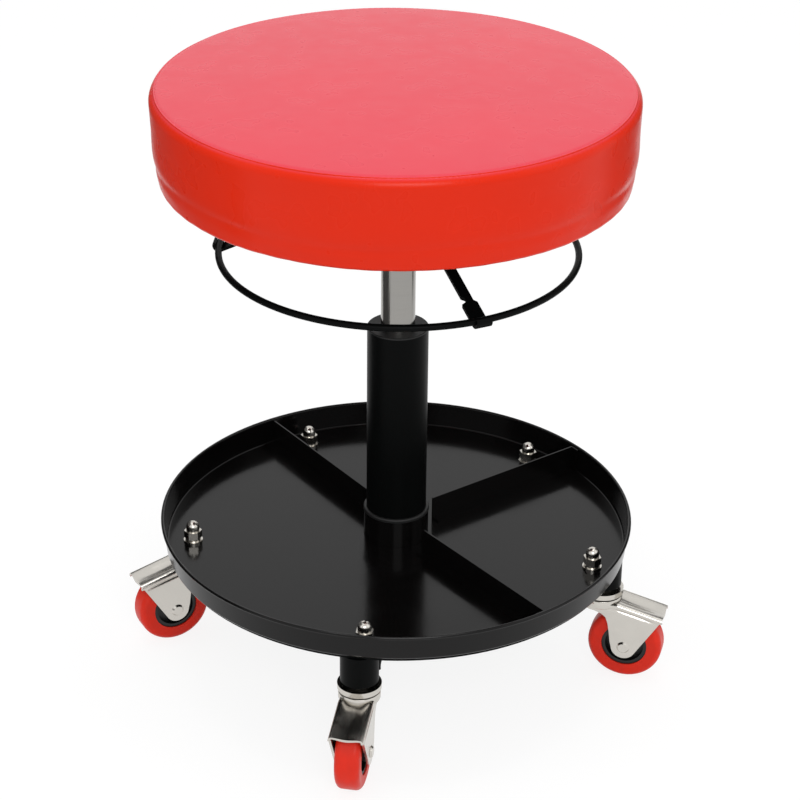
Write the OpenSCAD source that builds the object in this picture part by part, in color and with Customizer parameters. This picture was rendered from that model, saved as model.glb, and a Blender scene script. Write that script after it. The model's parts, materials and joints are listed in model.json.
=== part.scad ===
// Creeper seat on a gas lift, with a round tool tray and four swivel casters.
// Origin on the floor under the column's axis, +Z up. The photographed front faces -Y.

/* [Seat] */
// Diameter of the cushion at its top edge
seat_d = 381; // [340:1:400]
// Height of the cushion from its underside to its top edge
seat_h = 75; // [60:0.5:90]
// Rise of the top panel from its edge to its middle
crown = 5; // [1:0.5:12]
// How far the side band is drawn in from top to bottom
draw_in = 5; // [0:0.1:12]
// Rounding of the top edge
top_round = 7.5; // [3:0.5:12]
// Rounding of the lower edge
base_round = 6.5; // [4:0.5:18]
// Thickness of the vinyl skin
skin_t = 1.2; // [0.6:0.1:2]
// Radius of the seam bead
welt_r = 1.4; // [0.8:0.1:2.5]
// Width of the skin turned in under the board
turn_in = 22; // [10:1:40]
// Thickness of the plywood board
board_t = 12; // [9:0.5:18]
// Thickness of the sheet under the board
dust_t = 0.8; // [0.4:0.1:1.5]

// How far the cushion's middle lies off the lift's axis, to the right
off_side = -3.1; // [-6:0.1:6]
// How far the cushion's middle lies off the lift's axis, to the back
off_back = 3.6; // [-6:0.1:6]

/* [Mounting plate] */
// Side of the square plate
plate_side = 150; // [130:1:190]
// Thickness of the plate
plate_t = 2.5; // [1.5:0.1:4]
// Corner radius of the plate
plate_corner = 12; // [4:1:25]
// Distance between neighbouring screws
plate_pitch = 120; // [90:1:122]
// Radius of the screws
screw_r = 3; // [2:0.25:3.5]
// Radius of the screws' heads
screw_head_r = 5.5; // [4.5:0.25:8]
// Height of the screws' heads
screw_head_t = 3; // [2.5:0.25:5]

/* [Lever] */
// Radius of the ring's centre line
ring_r = 143.3; // [115:0.5:165]
// Drop from the cushion's underside to the ring's centre line
ring_drop = 62.6; // [50:0.1:75]
// Radius of the ring's rod
rod_r = 2.75; // [2:0.05:4]
// Direction of the front arm in plan
arm_angle = 296; // [0:1:359]
// Width of an arm
arm_w = 8.5; // [7:0.5:12]
// Width of an arm at its neck
neck_w = 5.8; // [3:0.1:6.5]
// How far the neck lies off the arm's middle
neck_off = 1.3; // [-2:0.1:2]
// Width of the arm's end that curls round the ring
clip_w = 13; // [8:0.5:16]
// Thickness of an arm
arm_t = 2.5; // [1.5:0.1:3.5]
// Radius of the lever's hub
lever_hub_r = 20; // [19:0.5:23]
// Tilt that the slots leave the lever, in degrees
lever_tilt = 5; // [2:0.5:6]

/* [Lever housing] */
// Outer radius of the housing
housing_r = 30; // [28:0.5:36]
// Wall of the housing
housing_t = 2.5; // [1.5:0.1:4]
// Height of the housing below the plate
housing_h = 39.2; // [36:0.1:50]
// Height of the boss that grips the lift tube
boss_h = 15; // [10:0.5:17]

/* [Gas lift] */
// Radius of the lift tube
lift_r = 14; // [12:0.5:16]
// Wall of the lift tube
lift_t = 2; // [1:0.1:3]
// Length of the lift tube
lift_len = 214; // [200:1:216]
// Radius of the lift's rod
lift_rod_r = 5; // [4:0.25:6]
// Height from the column's top to the cushion's underside
lift_open = 129.7; // [120:0.1:140]

/* [Column] */
// Outer radius of the column
column_r = 25; // [22:0.5:26]
// Wall of the column
column_t = 1.5; // [1:0.1:3]
// Height of the column's top above the tray's floor
column_h = 193.6; // [180:0.1:210]
// Length of the bushing inside the column
bushing_len = 60; // [30:1:90]
// Wall of the socket that carries the column
socket_t = 2; // [1.2:0.1:4]
// Height of the column socket above the tray's floor
socket_h = 23.8; // [10:0.1:40]
// Height of the collar on the column socket
collar_h = 3; // [1.5:0.1:6]

/* [Tray] */
// Inner radius of the tray at the foot of its wall
tray_r = 192.6; // [180:0.1:215]
// Height of the tray's rim above its floor
tray_h = 21.8; // [15:0.1:45]
// Thickness of the tray's sheet
sheet_t = 1.2; // [0.8:0.1:2]
// How far the wall leans out from floor to rim
wall_lean = 1.8; // [0:0.1:8]
// Radius of the rolled rim
rim_r = 1.5; // [1.2:0.1:3]
// Inner radius of the bend between floor and wall
bend_r = 1.5; // [1:0.1:5]
// Distance from the column's axis to the dividers' inner ends
divider_in = 38; // [34:0.5:80]
// Gap between the rim's top and the dividers' tops
divider_drop = 1.6; // [0.5:0.1:8]
// Width of a divider's foot on the floor
divider_foot = 9; // [5:0.5:12]
// Length of the tab at a divider's outer end
divider_tab = 9; // [4:0.5:14]

/* [Base] */
// Width of a leg's tube
leg_w = 30; // [20:0.5:31]
// Height of a leg's tube
leg_h = 20; // [12:0.5:26]
// Wall of a leg's tube
leg_t = 1.6; // [1:0.1:3]
// Distance from the foot of the tray's wall in to the circle of swivel axes
axis_in = 15.9; // [10:0.1:30]
// Direction of the front leg in plan
front_angle = 261; // [250:0.1:270]
// Outer radius of a caster boss
caster_boss_r = 15.5; // [15.5:0.25:18]
// Height of a caster boss
caster_boss_h = 26.8; // [26:0.1:35]
// Thickness of the plate under the tray
support_t = 3; // [2:0.1:5]

/* [Tray fixings] */
// Distance from the foot of the tray's wall in to the circle of studs
stud_in = 21.6; // [17.6:0.1:32]
// Radius of a stud
stud_r = 4; // [3:0.25:4.5]
// Width across flats of a dome nut
nut_flats = 13; // [12:0.5:16]
// Height of a dome nut
nut_h = 15; // [13.5:0.5:18]
// Height of a dome nut's hexagon
nut_hex_h = 6.5; // [4:0.5:7.5]
// Radius of a dome nut's cap
nut_dome_r = 5.6; // [5.2:0.1:6]
// Outer radius of a flat washer
washer_r = 8; // [7:0.25:10]
// Thickness of a flat washer
washer_t = 1.6; // [1:0.1:2.5]
// Outer radius of a spring washer
spring_washer_r = 6.6; // [5.5:0.1:8]
// Thickness of a spring washer
spring_washer_t = 2; // [1:0.1:3]

/* [Casters] */
// Radius of the wheel
wheel_r = 31.5; // [28:0.5:34]
// Width of the tyre
tyre_w = 20.5; // [16:0.5:22]
// Radius of the wheel's core
core_r = 19.3; // [15:0.1:22]
// Rounding of the tyre's edges
tyre_round = 5; // [2:0.5:8]
// Distance from the swivel axis to the axle
trail = 22.7; // [18:0.1:26]
// Radius of the axle
axle_r = 4; // [2.5:0.25:4.5]
// Radius of the axle's heads
axle_head_r = 5.4; // [5:0.1:7]
// Outer width of the fork
fork_w = 28.5; // [26.5:0.5:30]
// Thickness of the fork's sheet
fork_t = 2; // [1:0.1:2.2]
// Reach of the fork from the swivel axis
fork_reach = 54.5; // [50:0.5:62]
// Height of the fork's top above the wheel
fork_over = 9.5; // [9:0.5:14]
// Drop of the fork's top from its head to its outer end
nose_drop = 9; // [6:0.5:10]
// Rounding of the cheeks round the axle
cheek_r = 10.5; // [8:0.5:12]
// Radius of the fork's head
fork_head_r = 17; // [16:0.5:19]
// Radius of a caster's stem
stem_r = 5; // [4:0.25:6]

/* [Hidden] */
$fn = 64;

// Overrun of every cut past the face it leaves
cut = 1;
// Clearance between nested pieces
gap = 0.3;
// Radial clearance of a shaft in its hole
running = 0.05;

// Caster values: clearance for the balls, the cup, the collar on the stem
ball_space = 5.5;
ball_circle_share = 0.68;
ball_count = 12;
cup_t = 3;
cup_over = 0.75;
cup_r = fork_head_r + cup_over;
cup_lip = 1.6;
cup_lip_t = 0.9;
stem_collar_h = 3.2;
stem_collar_r = 9.5;
stem_flange_r = 9;
stem_flange_t = 3;
stem_in = 20;
head_h = 6;
head_rim_h = 2;
head_rim_t = 1.5;
head_wall = 2.5;
web_drop = 4;
axle_head_t = 1.6;
core_boss_r = 8.5;
core_web = 7;
core_rim_t = 3;
core_recess = 1.2;
// Directions in which the four wheels trail, front, right, back and left
trail_angles = [259.5, 344.5, 75, 208.1];
// Angle at which a cheek's round end starts, seen from the side
cheek_from = 170;
// Points of a cheek's rear edge as shares of the trail and of the fork's height above the axle
rear_shares = [
    [0.49, 0.09], [0.43, 0.33], [0.37, 0.53], [0.28, 0.665], [0.12, 0.74],
    [-0.12, 0.785], [-0.38, 0.815], [-0.54, 0.87]
];
// Where the fork's top starts to slope, as a share of its reach
slope_share = 0.288;
// Where the web between the cheeks ends, as a share of the fork's reach
web_share = 0.97;

// Heights of the base, each from the piece that carries it
axle_z = wheel_r;
fork_top = 2 * wheel_r + fork_over;
cup_z = fork_top + ball_space;
boss_z = cup_z + cup_t + stem_collar_h;
leg_top = boss_z + caster_boss_h;
leg_z = leg_top - leg_h;
support_z = leg_top;
axis_r = tray_r - axis_in;
stud_circle = tray_r - stud_in;
boss_out = 2.2;
support_r = axis_r + caster_boss_r - boss_out;
pan_z = support_z + support_t;
tray_z = pan_z + sheet_t;
rim_z = tray_z + tray_h;
socket_r = column_r + running + socket_t;
socket_top = tray_z + socket_h;
column_top = tray_z + column_h;

// Fixings on the tray, in the directions that the photograph shows
stud_angles = [186, 262, 341.5, 46.9, 117.5];
nut_z = tray_z + washer_t + spring_washer_t;
nut_bore = 10.5;
stud_top = nut_z + nut_bore - gap;
washer_split = 1.5;

// Dividers: back left, back right, front right
divider_angles = [125, 37, 307.5];
divider_top = rim_z - divider_drop;

// Column values
bushing_flange = 1.5;
bushing_chamfer = 0.5;
column_bottom = leg_z;
floor_t = 3;
bearing_h = 6;
bearing_r = 12;
bearing_washer = 1.5;
bearing_balls = 9;
bump_h = 14;
bump_r = 11;
bump_bead = 2;
clip_t = 1.5;
clip_r = 9;
clip_groove = 1;
clip_opening = 6;
rod_end = 3;
collar_over = 0.5;

// Seat values
seat_r = seat_d / 2;
seat_z = column_top + lift_open;
seat_top = seat_z + seat_h;
side_top = seat_top - top_round;
side_bottom = seat_z + base_round;
lower_r = seat_r - draw_in;
flat_r = lower_r - base_round;
welt_share = 0.35;
welt_z = seat_top - welt_share * top_round;
welt_place = seat_r - welt_share * welt_r;
board_z = seat_z + skin_t;
board_top = board_z + board_t;
board_r = flat_r - gap;
dust_z = seat_z - dust_t;
dust_in = 6;
plate_z = dust_z - plate_t;
tnut_r = 4.4;
tnut_flange_r = 9;
tnut_flange_t = 1.2;
tnut_len = 9;
screw_short = 1.5;
screw_key_share = 0.5;
// How much of the draw-in is reached at each share of the side band's height, from the top down
side_shares = [[0, 0], [0.18, 0.17], [0.40, 0.25], [0.68, 0.40], [1, 1]];
arc_steps = 10;
crown_steps = 14;

// Lift values
housing_z = plate_z - housing_h;
lift_stand = 1;
lift_top = housing_z + boss_h + lift_stand;
lift_bottom = lift_top - lift_len;
lift_cap = 24;
lift_taper = 0.6;
boss_wall = 5.5;
gland_h = 12;
piston_h = 10;
piston_up = 31;
piston_z = lift_bottom + gland_h + piston_up;
pin_r = 2.5;
pin_len = 18;
pin_stand = 4.85;
pin_gap = 0.25;
pin_chamfer = 0.6;
pin_top = lift_top + pin_stand;

// Lever values
ring_z = seat_z - ring_drop;
lever_hub_t = 3;
hub_z = pin_top + pin_gap;
arm_bottom = hub_z + lever_hub_t;
arm_top = arm_bottom + arm_t;
arm_in = 7;
arm_clear = 4;
arm_bend = housing_r + arm_clear;
clip_gap = running + pow(clip_w, 2) / (8 * ring_r);
clip_in = rod_r + clip_gap;
clip_out = clip_in + arm_t;
clip_turn = 150;
clip_len = 22;
neck_len = 3;
neck_ramp = 2;
rivet_r = 1.8;
rivet_head_r = 3;
rivet_head_t = 1.4;
rivet_in = 10.5;
rivet_pitch = 6.4;
slot_side = 1;
slot_play = 1;
slot_reach_share = 1.5;
// Slope of an arm's outer stretch, which passes under the ring's rod
arm_run = ring_r - arm_bend;
arm_fall = arm_top - ring_z;
arm_slope = atan2(arm_fall, arm_run) + asin(clip_in / norm([arm_run, arm_fall]));

// Points of an arc from one angle to another
function arc(x, y, r, from, to, steps) =
    [for (i = [0:steps]) let (a = from + (to - from) * i / steps) [x + r * cos(a), y + r * sin(a)]];

// The same points, last one first
function back(points) = [for (i = [len(points) - 1:-1:0]) points[i]];

// Half outline of the cushion from the middle of its top to its underside, set in by a distance
function cushion(inset) = concat(
    [for (i = [0:crown_steps]) let (s = i / crown_steps)
        [s * (seat_r - top_round), seat_top - inset + crown * (1 - s * s)]],
    arc(seat_r - top_round, side_top, top_round - inset, 90, 0, arc_steps),
    [for (i = [1:len(side_shares) - 2]) [
        seat_r - inset - draw_in * side_shares[i][1],
        side_top - (side_top - side_bottom) * side_shares[i][0]
    ]],
    arc(flat_r, side_bottom, base_round - inset, 0, -90, arc_steps)
);

// Tray wall's inner radius at a height
function wall_r(z) = tray_r + wall_lean * (z - tray_z - bend_r) / (tray_h - bend_r - rim_r);

// Height of the fork's top at a distance from the swivel axis
function fork_z(x) = fork_top
    - nose_drop * max(0, x - slope_share * fork_reach) / (fork_reach * (1 - slope_share));

module ring(r_out, r_in, h) {
    difference() {
        cylinder(r = r_out, h = h);
        translate([0, 0, -cut])
            cylinder(r = r_in, h = h + 2 * cut);
    }
}

// Puts the cushion and its board where they lie, off the lift's axis
module off_axis() {
    translate([off_side, off_back, 0])
        children();
}

// Puts a piece at each screw of the mounting plate
module at_screws() {
    for (x = [-1, 1], y = [-1, 1])
        translate([x * plate_pitch / 2, y * plate_pitch / 2, 0])
            children();
}

// Puts a piece at each stud of the tray
module at_studs() {
    for (a = stud_angles)
        rotate([0, 0, a])
            translate([stud_circle, 0, 0])
                children();
}

// Puts a piece at one of the four swivel axes, turned to its wheel's trail
module at_caster(i) {
    a = front_angle + 360 * i / len(trail_angles);
    translate([axis_r * cos(a), axis_r * sin(a), 0])
        rotate([0, 0, trail_angles[i]])
            children();
}

// Puts a piece on one caster's axle, with its own axis along the axle
module at_axle(i) {
    at_caster(i)
        translate([trail, 0, axle_z])
            rotate([90, 0, 0])
                children();
}

module seat_cover() {
    color([0.80, 0.10, 0.10])
        off_axis()
        rotate_extrude()
            polygon(concat(
                cushion(0),
                [[flat_r - turn_in, seat_z], [flat_r - turn_in, board_z]],
                back(cushion(skin_t))
            ));
}

module seat_welt() {
    color([0.70, 0.08, 0.08])
        off_axis()
        rotate_extrude()
            difference() {
                translate([welt_place, welt_z])
                    circle(r = welt_r, $fn = 24);
                polygon(concat(cushion(-running), [[0, seat_z]]));
            }
}

module seat_foam() {
    color([0.90, 0.84, 0.62])
        off_axis()
        rotate_extrude()
            polygon(concat(
                cushion(skin_t + gap),
                [[flat_r, board_top + gap], [0, board_top + gap]]
            ));
}

module seat_board() {
    color([0.76, 0.60, 0.40])
        difference() {
            off_axis()
                translate([0, 0, board_z])
                    cylinder(r = board_r, h = board_t);
            at_screws() {
                translate([0, 0, board_z - cut])
                    cylinder(r = tnut_r + running, h = board_t + 2 * cut);
                translate([0, 0, board_top - tnut_flange_t])
                    cylinder(r = tnut_flange_r + running, h = tnut_flange_t + cut);
            }
        }
}

module dust_cover() {
    color([0.12, 0.12, 0.12])
        difference() {
            off_axis()
                translate([0, 0, dust_z])
                    cylinder(r = flat_r - dust_in, h = dust_t);
            at_screws()
                translate([0, 0, dust_z - cut])
                    cylinder(r = screw_r + gap, h = dust_t + 2 * cut);
        }
}

module t_nuts() {
    color("silver")
        at_screws()
            difference() {
                union() {
                    translate([0, 0, board_top - tnut_len])
                        cylinder(r = tnut_r, h = tnut_len);
                    translate([0, 0, board_top - tnut_flange_t])
                        cylinder(r = tnut_flange_r, h = tnut_flange_t);
                }
                translate([0, 0, board_top - tnut_len - cut])
                    cylinder(r = screw_r + running, h = tnut_len + 2 * cut);
            }
}

module plate_screws() {
    screw_len = board_top - screw_short - plate_z;
    color("silver")
        at_screws()
            difference() {
                union() {
                    translate([0, 0, plate_z - screw_head_t])
                        cylinder(r = screw_head_r, h = screw_head_t);
                    translate([0, 0, plate_z])
                        cylinder(r = screw_r, h = screw_len);
                }
                translate([0, 0, plate_z - screw_head_t - cut])
                    cylinder(
                        r = screw_key_share * screw_head_r,
                        h = screw_key_share * screw_head_t + cut,
                        $fn = 6
                    );
            }
}

module mounting_plate() {
    inner = plate_side - 2 * plate_corner;
    color([0.10, 0.10, 0.10])
        difference() {
            translate([0, 0, plate_z])
                linear_extrude(height = plate_t) {
                    square([inner, plate_side], center = true);
                    square([plate_side, inner], center = true);
                    for (x = [-1, 1], y = [-1, 1])
                        translate([x * inner / 2, y * inner / 2])
                            circle(r = plate_corner);
                }
            at_screws()
                translate([0, 0, plate_z - cut])
                    cylinder(r = screw_r + gap, h = plate_t + 2 * cut);
        }
}

// The three arms stand a third of a turn apart
module at_arm(i) {
    rotate([0, 0, arm_angle + 360 * i / 3])
        children();
}

module lever_housing() {
    boss_top_r = lift_r - lift_taper * boss_h / (boss_h + lift_stand);
    slot_drop = (slot_reach_share * housing_r + arm_w / 2) * tan(lever_tilt) + slot_play;
    color([0.10, 0.10, 0.10])
        difference() {
            translate([0, 0, housing_z])
                cylinder(r = housing_r, h = housing_h);
            difference() {
                translate([0, 0, housing_z + housing_t])
                    cylinder(r = housing_r - housing_t, h = housing_h);
                translate([0, 0, housing_z])
                    cylinder(r = lift_r + boss_wall, h = boss_h);
            }
            translate([0, 0, housing_z])
                cylinder(r1 = lift_r + running, r2 = boss_top_r + running, h = boss_h);
            translate([0, 0, housing_z - cut])
                cylinder(r = lift_r + running, h = 2 * cut);
            translate([0, 0, housing_z + boss_h])
                cylinder(r = boss_top_r + running, h = cut);
            for (i = [0:2])
                at_arm(i)
                    translate([
                        housing_r - housing_t - cut,
                        -arm_w / 2 - slot_side,
                        arm_bottom - slot_drop
                    ])
                        cube([
                            housing_t + 2 * cut,
                            arm_w + 2 * slot_side,
                            arm_t + slot_drop + gap
                        ]);
        }
}

module gas_cylinder() {
    color([0.78, 0.77, 0.74])
        difference() {
            union() {
                translate([0, 0, lift_bottom])
                    cylinder(r = lift_r, h = housing_z - lift_bottom);
                translate([0, 0, housing_z])
                    cylinder(r1 = lift_r, r2 = lift_r - lift_taper, h = lift_top - housing_z);
            }
            translate([0, 0, lift_bottom - cut])
                cylinder(r = lift_r - lift_t, h = lift_len - lift_cap + cut);
            translate([0, 0, lift_bottom])
                cylinder(r = pin_r + running, h = lift_len + cut);
        }
}

module rod_gland() {
    color([0.15, 0.15, 0.15])
        translate([0, 0, lift_bottom])
            ring(lift_r - lift_t - running, lift_rod_r + running, gland_h);
}

module lever_hub() {
    color([0.10, 0.10, 0.10])
        difference() {
            translate([0, 0, hub_z])
                cylinder(r = lever_hub_r, h = lever_hub_t);
            rivet_holes();
        }
}

module rivet_holes() {
    for (i = [0:2], k = [0:1])
        at_arm(i)
            translate([rivet_in + k * rivet_pitch, 0, hub_z - cut])
                cylinder(r = rivet_r + running, h = lever_hub_t + arm_t + 2 * cut);
}

module lever_rivets() {
    color("silver")
        for (i = [0:2], k = [0:1])
            at_arm(i)
                translate([rivet_in + k * rivet_pitch, 0, 0]) {
                    translate([0, 0, hub_z])
                        cylinder(r = rivet_r, h = lever_hub_t + arm_t);
                    translate([0, 0, arm_top])
                        cylinder(r1 = rivet_head_r, r2 = rivet_r, h = rivet_head_t);
                }
}

// Side view of an arm: flat on the hub, down under the rod, then curled up round it
module arm_side() {
    polygon(concat(
        [[arm_in, arm_top], [arm_bend, arm_top]],
        arc(ring_r, ring_z, clip_in, -90 - arm_slope, clip_turn - 90 - arm_slope, arc_steps),
        arc(ring_r, ring_z, clip_out, clip_turn - 90 - arm_slope, -90 - arm_slope, arc_steps),
        [[arm_bend - arm_t * tan(arm_slope / 2), arm_bottom], [arm_in, arm_bottom]]
    ));
}

// Plan of an arm: a strap, a neck and a wider end
module arm_plan() {
    neck_end = ring_r - clip_len;
    neck_start = neck_end - neck_len;
    function side(hand) = [
        [arm_in - cut, hand * arm_w / 2],
        [neck_start - neck_ramp, hand * arm_w / 2],
        [neck_start, neck_off + hand * neck_w / 2],
        [neck_end, neck_off + hand * neck_w / 2],
        [neck_end + neck_ramp, hand * clip_w / 2],
        [ring_r + clip_out + cut, hand * clip_w / 2]
    ];
    polygon(concat(side(1), back(side(-1))));
}

module lever_arm(i) {
    color([0.10, 0.10, 0.10])
        difference() {
            at_arm(i)
                intersection() {
                    rotate([90, 0, 0])
                        linear_extrude(height = clip_w + 2 * cut, center = true)
                            arm_side();
                    translate([0, 0, ring_z - clip_out - cut])
                        linear_extrude(height = arm_top - ring_z + clip_out + 2 * cut)
                            arm_plan();
                }
            rivet_holes();
        }
}

module lever_arm_front() {
    lever_arm(0);
}

module lever_arm_back() {
    lever_arm(1);
}

module lever_arm_left() {
    lever_arm(2);
}

module lever_ring() {
    color([0.10, 0.10, 0.10])
        rotate_extrude()
            translate([ring_r, ring_z])
                circle(r = rod_r, $fn = 32);
}

module valve_pin() {
    color("gray")
        translate([0, 0, pin_top - pin_len]) {
            cylinder(r = pin_r, h = pin_len - pin_chamfer);
            translate([0, 0, pin_len - pin_chamfer])
                cylinder(r1 = pin_r, r2 = pin_r - pin_chamfer, h = pin_chamfer);
        }
}

module gas_rod() {
    foot = column_bottom - floor_t - gap - clip_t - rod_end;
    color("silver")
        difference() {
            translate([0, 0, foot])
                cylinder(r = lift_rod_r, h = piston_z - foot);
            translate([0, 0, foot + rod_end - running])
                ring(lift_rod_r + cut, lift_rod_r - clip_groove, clip_t + 2 * running);
        }
}

module rod_piston() {
    color("gray")
        translate([0, 0, piston_z])
            cylinder(r = lift_r - lift_t - running, h = piston_h);
}

module thrust_bearing() {
    hole = lift_rod_r + running;
    pitch = (hole + bearing_r) / 2;
    ball = (bearing_h - 2 * bearing_washer) / 2;
    color("silver")
        translate([0, 0, column_bottom]) {
            ring(bearing_r, hole, bearing_washer);
            translate([0, 0, bearing_h - bearing_washer])
                ring(bearing_r, hole, bearing_washer);
            translate([0, 0, bearing_washer])
                ring(pitch + ball / 2, pitch - ball / 2, 2 * ball);
            for (i = [0:bearing_balls - 1])
                rotate([0, 0, 360 * i / bearing_balls])
                    translate([pitch, 0, bearing_h / 2])
                        sphere(r = ball);
        }
}

module bump_stop() {
    hole = lift_rod_r + running;
    waist = (bump_h - 2 * bump_bead) / 2;
    color([0.12, 0.12, 0.12])
        translate([0, 0, column_bottom + bearing_h])
            rotate_extrude()
                polygon([
                    [hole, 0],
                    [bump_r, 0],
                    [bump_r, bump_bead],
                    [bump_r - bump_bead, bump_bead + waist],
                    [bump_r, bump_h - bump_bead],
                    [bump_r, bump_h],
                    [hole, bump_h]
                ]);
}

module rod_clip() {
    color("silver")
        translate([0, 0, column_bottom - floor_t - gap - clip_t])
            difference() {
                ring(clip_r, lift_rod_r - clip_groove + running, clip_t);
                translate([0, -clip_opening / 2, -cut])
                    cube([clip_r + cut, clip_opening, clip_t + 2 * cut]);
            }
}

module column_tube() {
    color([0.07, 0.07, 0.07])
        translate([0, 0, column_bottom])
            ring(column_r, column_r - column_t, column_top - bushing_flange - column_bottom);
}

module column_bushing() {
    hole = lift_r + running;
    body = column_r - column_t - running;
    flange_z = column_top - bushing_flange;
    color([0.13, 0.13, 0.13])
        rotate_extrude()
            polygon([
                [hole, column_top - bushing_len],
                [body, column_top - bushing_len],
                [body, flange_z],
                [column_r, flange_z],
                [column_r, column_top - bushing_chamfer],
                [column_r - bushing_chamfer, column_top],
                [hole, column_top]
            ]);
}

module column_floor() {
    color([0.10, 0.10, 0.10])
        translate([0, 0, column_bottom - floor_t])
            ring(socket_r, lift_rod_r + running, floor_t);
}

module column_socket() {
    color([0.16, 0.16, 0.16])
        translate([0, 0, column_bottom])
            ring(socket_r, column_r + running, socket_top - column_bottom);
}

module socket_collar() {
    side = socket_r + collar_over;
    color([0.14, 0.14, 0.14])
        translate([0, 0, socket_top])
            rotate_extrude()
                polygon(concat(
                    [[column_r + running, 0], [side, 0]],
                    arc(side - collar_h / 2, collar_h / 2, collar_h / 2, 0, 90, arc_steps),
                    [[column_r + running, collar_h]]
                ));
}

module tray_pan() {
    top = rim_z - rim_r;
    rim_end = -acos((sheet_t - rim_r) / rim_r);
    color([0.15, 0.14, 0.14])
        difference() {
            rotate_extrude($fn = 128)
                polygon(concat(
                    [[socket_r + gap, tray_z]],
                    arc(tray_r - bend_r, tray_z + bend_r, bend_r, -90, 0, arc_steps),
                    arc(wall_r(top) + rim_r, top, rim_r, 180, rim_end, 2 * arc_steps),
                    arc(tray_r - bend_r, tray_z + bend_r, bend_r + sheet_t, 0, -90, arc_steps),
                    [[socket_r + gap, pan_z]]
                ));
            at_studs()
                translate([0, 0, pan_z - cut])
                    cylinder(r = stud_r + gap, h = sheet_t + 2 * cut);
        }
}

// A divider stands on the floor, follows the wall and has a foot and a tab bent from its sheet
module divider(i) {
    top = divider_top;
    foot_end = tray_r - bend_r - gap;
    turn = divider_tab / tray_r * 180 / PI;
    color([0.15, 0.14, 0.14])
        rotate([0, 0, divider_angles[i]]) {
            rotate([90, 0, 0])
                linear_extrude(height = sheet_t)
                    polygon([
                        [divider_in, tray_z],
                        [foot_end, tray_z],
                        [tray_r - gap, tray_z + bend_r],
                        [wall_r(top) - gap, top],
                        [divider_in, top]
                    ]);
            translate([divider_in, -divider_foot, tray_z])
                cube([foot_end - divider_in - sheet_t, divider_foot, sheet_t]);
            rotate([0, 0, -turn])
                rotate_extrude(angle = turn, $fn = 128)
                    polygon([
                        [tray_r - gap - sheet_t, tray_z + bend_r],
                        [tray_r - gap, tray_z + bend_r],
                        [wall_r(top) - gap, top],
                        [wall_r(top) - gap - sheet_t, top]
                    ]);
        }
}

module divider_back_left() {
    divider(0);
}

module divider_back_right() {
    divider(1);
}

module divider_front_right() {
    divider(2);
}

module support_plate() {
    color([0.08, 0.08, 0.08])
        translate([0, 0, support_z])
            ring(support_r, socket_r + gap, support_t);
}

module base_legs() {
    color([0.08, 0.08, 0.08])
        for (i = [0:len(trail_angles) - 1])
            rotate([0, 0, front_angle + 360 * i / len(trail_angles)])
                difference() {
                    translate([0, -leg_w / 2, leg_z])
                        cube([axis_r, leg_w, leg_h]);
                    translate([-cut, leg_t - leg_w / 2, leg_z + leg_t])
                        cube([axis_r + 2 * cut, leg_w - 2 * leg_t, leg_h - 2 * leg_t]);
                    translate([0, 0, leg_z - cut])
                        cylinder(r = socket_r + running, h = leg_h + 2 * cut);
                    translate([axis_r, 0, leg_z - cut])
                        cylinder(r = caster_boss_r + running, h = leg_h + 2 * cut);
                }
}

module caster_bosses() {
    color([0.10, 0.10, 0.10])
        for (i = [0:len(trail_angles) - 1])
            at_caster(i)
                difference() {
                    translate([0, 0, boss_z])
                        cylinder(r = caster_boss_r, h = caster_boss_h);
                    translate([0, 0, boss_z - cut])
                        cylinder(r = stem_r + running, h = stem_in + gap + cut);
                }
}

module weld_studs() {
    color("silver")
        at_studs()
            translate([0, 0, pan_z])
                cylinder(r = stud_r, h = stud_top - pan_z);
}

module flat_washers() {
    color("silver")
        at_studs()
            translate([0, 0, tray_z])
                ring(washer_r, stud_r + gap, washer_t);
}

module spring_washers() {
    color("silver")
        at_studs()
            translate([0, 0, tray_z + washer_t])
                difference() {
                    ring(spring_washer_r, stud_r + gap, spring_washer_t);
                    translate([0, -washer_split / 2, -cut])
                        cube([spring_washer_r + cut, washer_split, spring_washer_t + 2 * cut]);
                }
}

module dome_nuts() {
    color("silver")
        at_studs()
            translate([0, 0, nut_z])
                difference() {
                    union() {
                        cylinder(r = nut_flats / 2 / cos(30), h = nut_hex_h, $fn = 6);
                        cylinder(r = nut_dome_r, h = nut_h - nut_dome_r);
                        translate([0, 0, nut_h - nut_dome_r])
                            sphere(r = nut_dome_r);
                    }
                    translate([0, 0, -cut])
                        cylinder(r = stud_r + running, h = nut_bore + cut);
                }
}

module caster_stems() {
    flange_top = fork_top - fork_t - gap;
    color("silver")
        for (i = [0:len(trail_angles) - 1])
            at_caster(i) {
                translate([0, 0, flange_top - stem_flange_t])
                    cylinder(r = stem_flange_r, h = stem_flange_t);
                translate([0, 0, flange_top - stem_flange_t])
                    cylinder(r = stem_r, h = boss_z + stem_in - flange_top + stem_flange_t);
                translate([0, 0, cup_z + cup_t])
                    cylinder(r = stem_collar_r, h = stem_collar_h, $fn = 6);
            }
}

module caster_cups() {
    color("silver")
        for (i = [0:len(trail_angles) - 1])
            at_caster(i) {
                translate([0, 0, cup_z])
                    ring(cup_r, stem_r + running, cup_t);
                translate([0, 0, cup_z - cup_lip])
                    ring(cup_r, cup_r - cup_lip_t, cup_lip);
            }
}

module caster_balls() {
    ball = ball_space / 2 - gap;
    color("silver")
        for (i = [0:len(trail_angles) - 1], k = [0:ball_count - 1])
            at_caster(i)
                rotate([0, 0, 360 * k / ball_count])
                    translate([ball_circle_share * fork_head_r, 0, fork_top + ball_space / 2])
                        sphere(r = ball);
}

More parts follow.
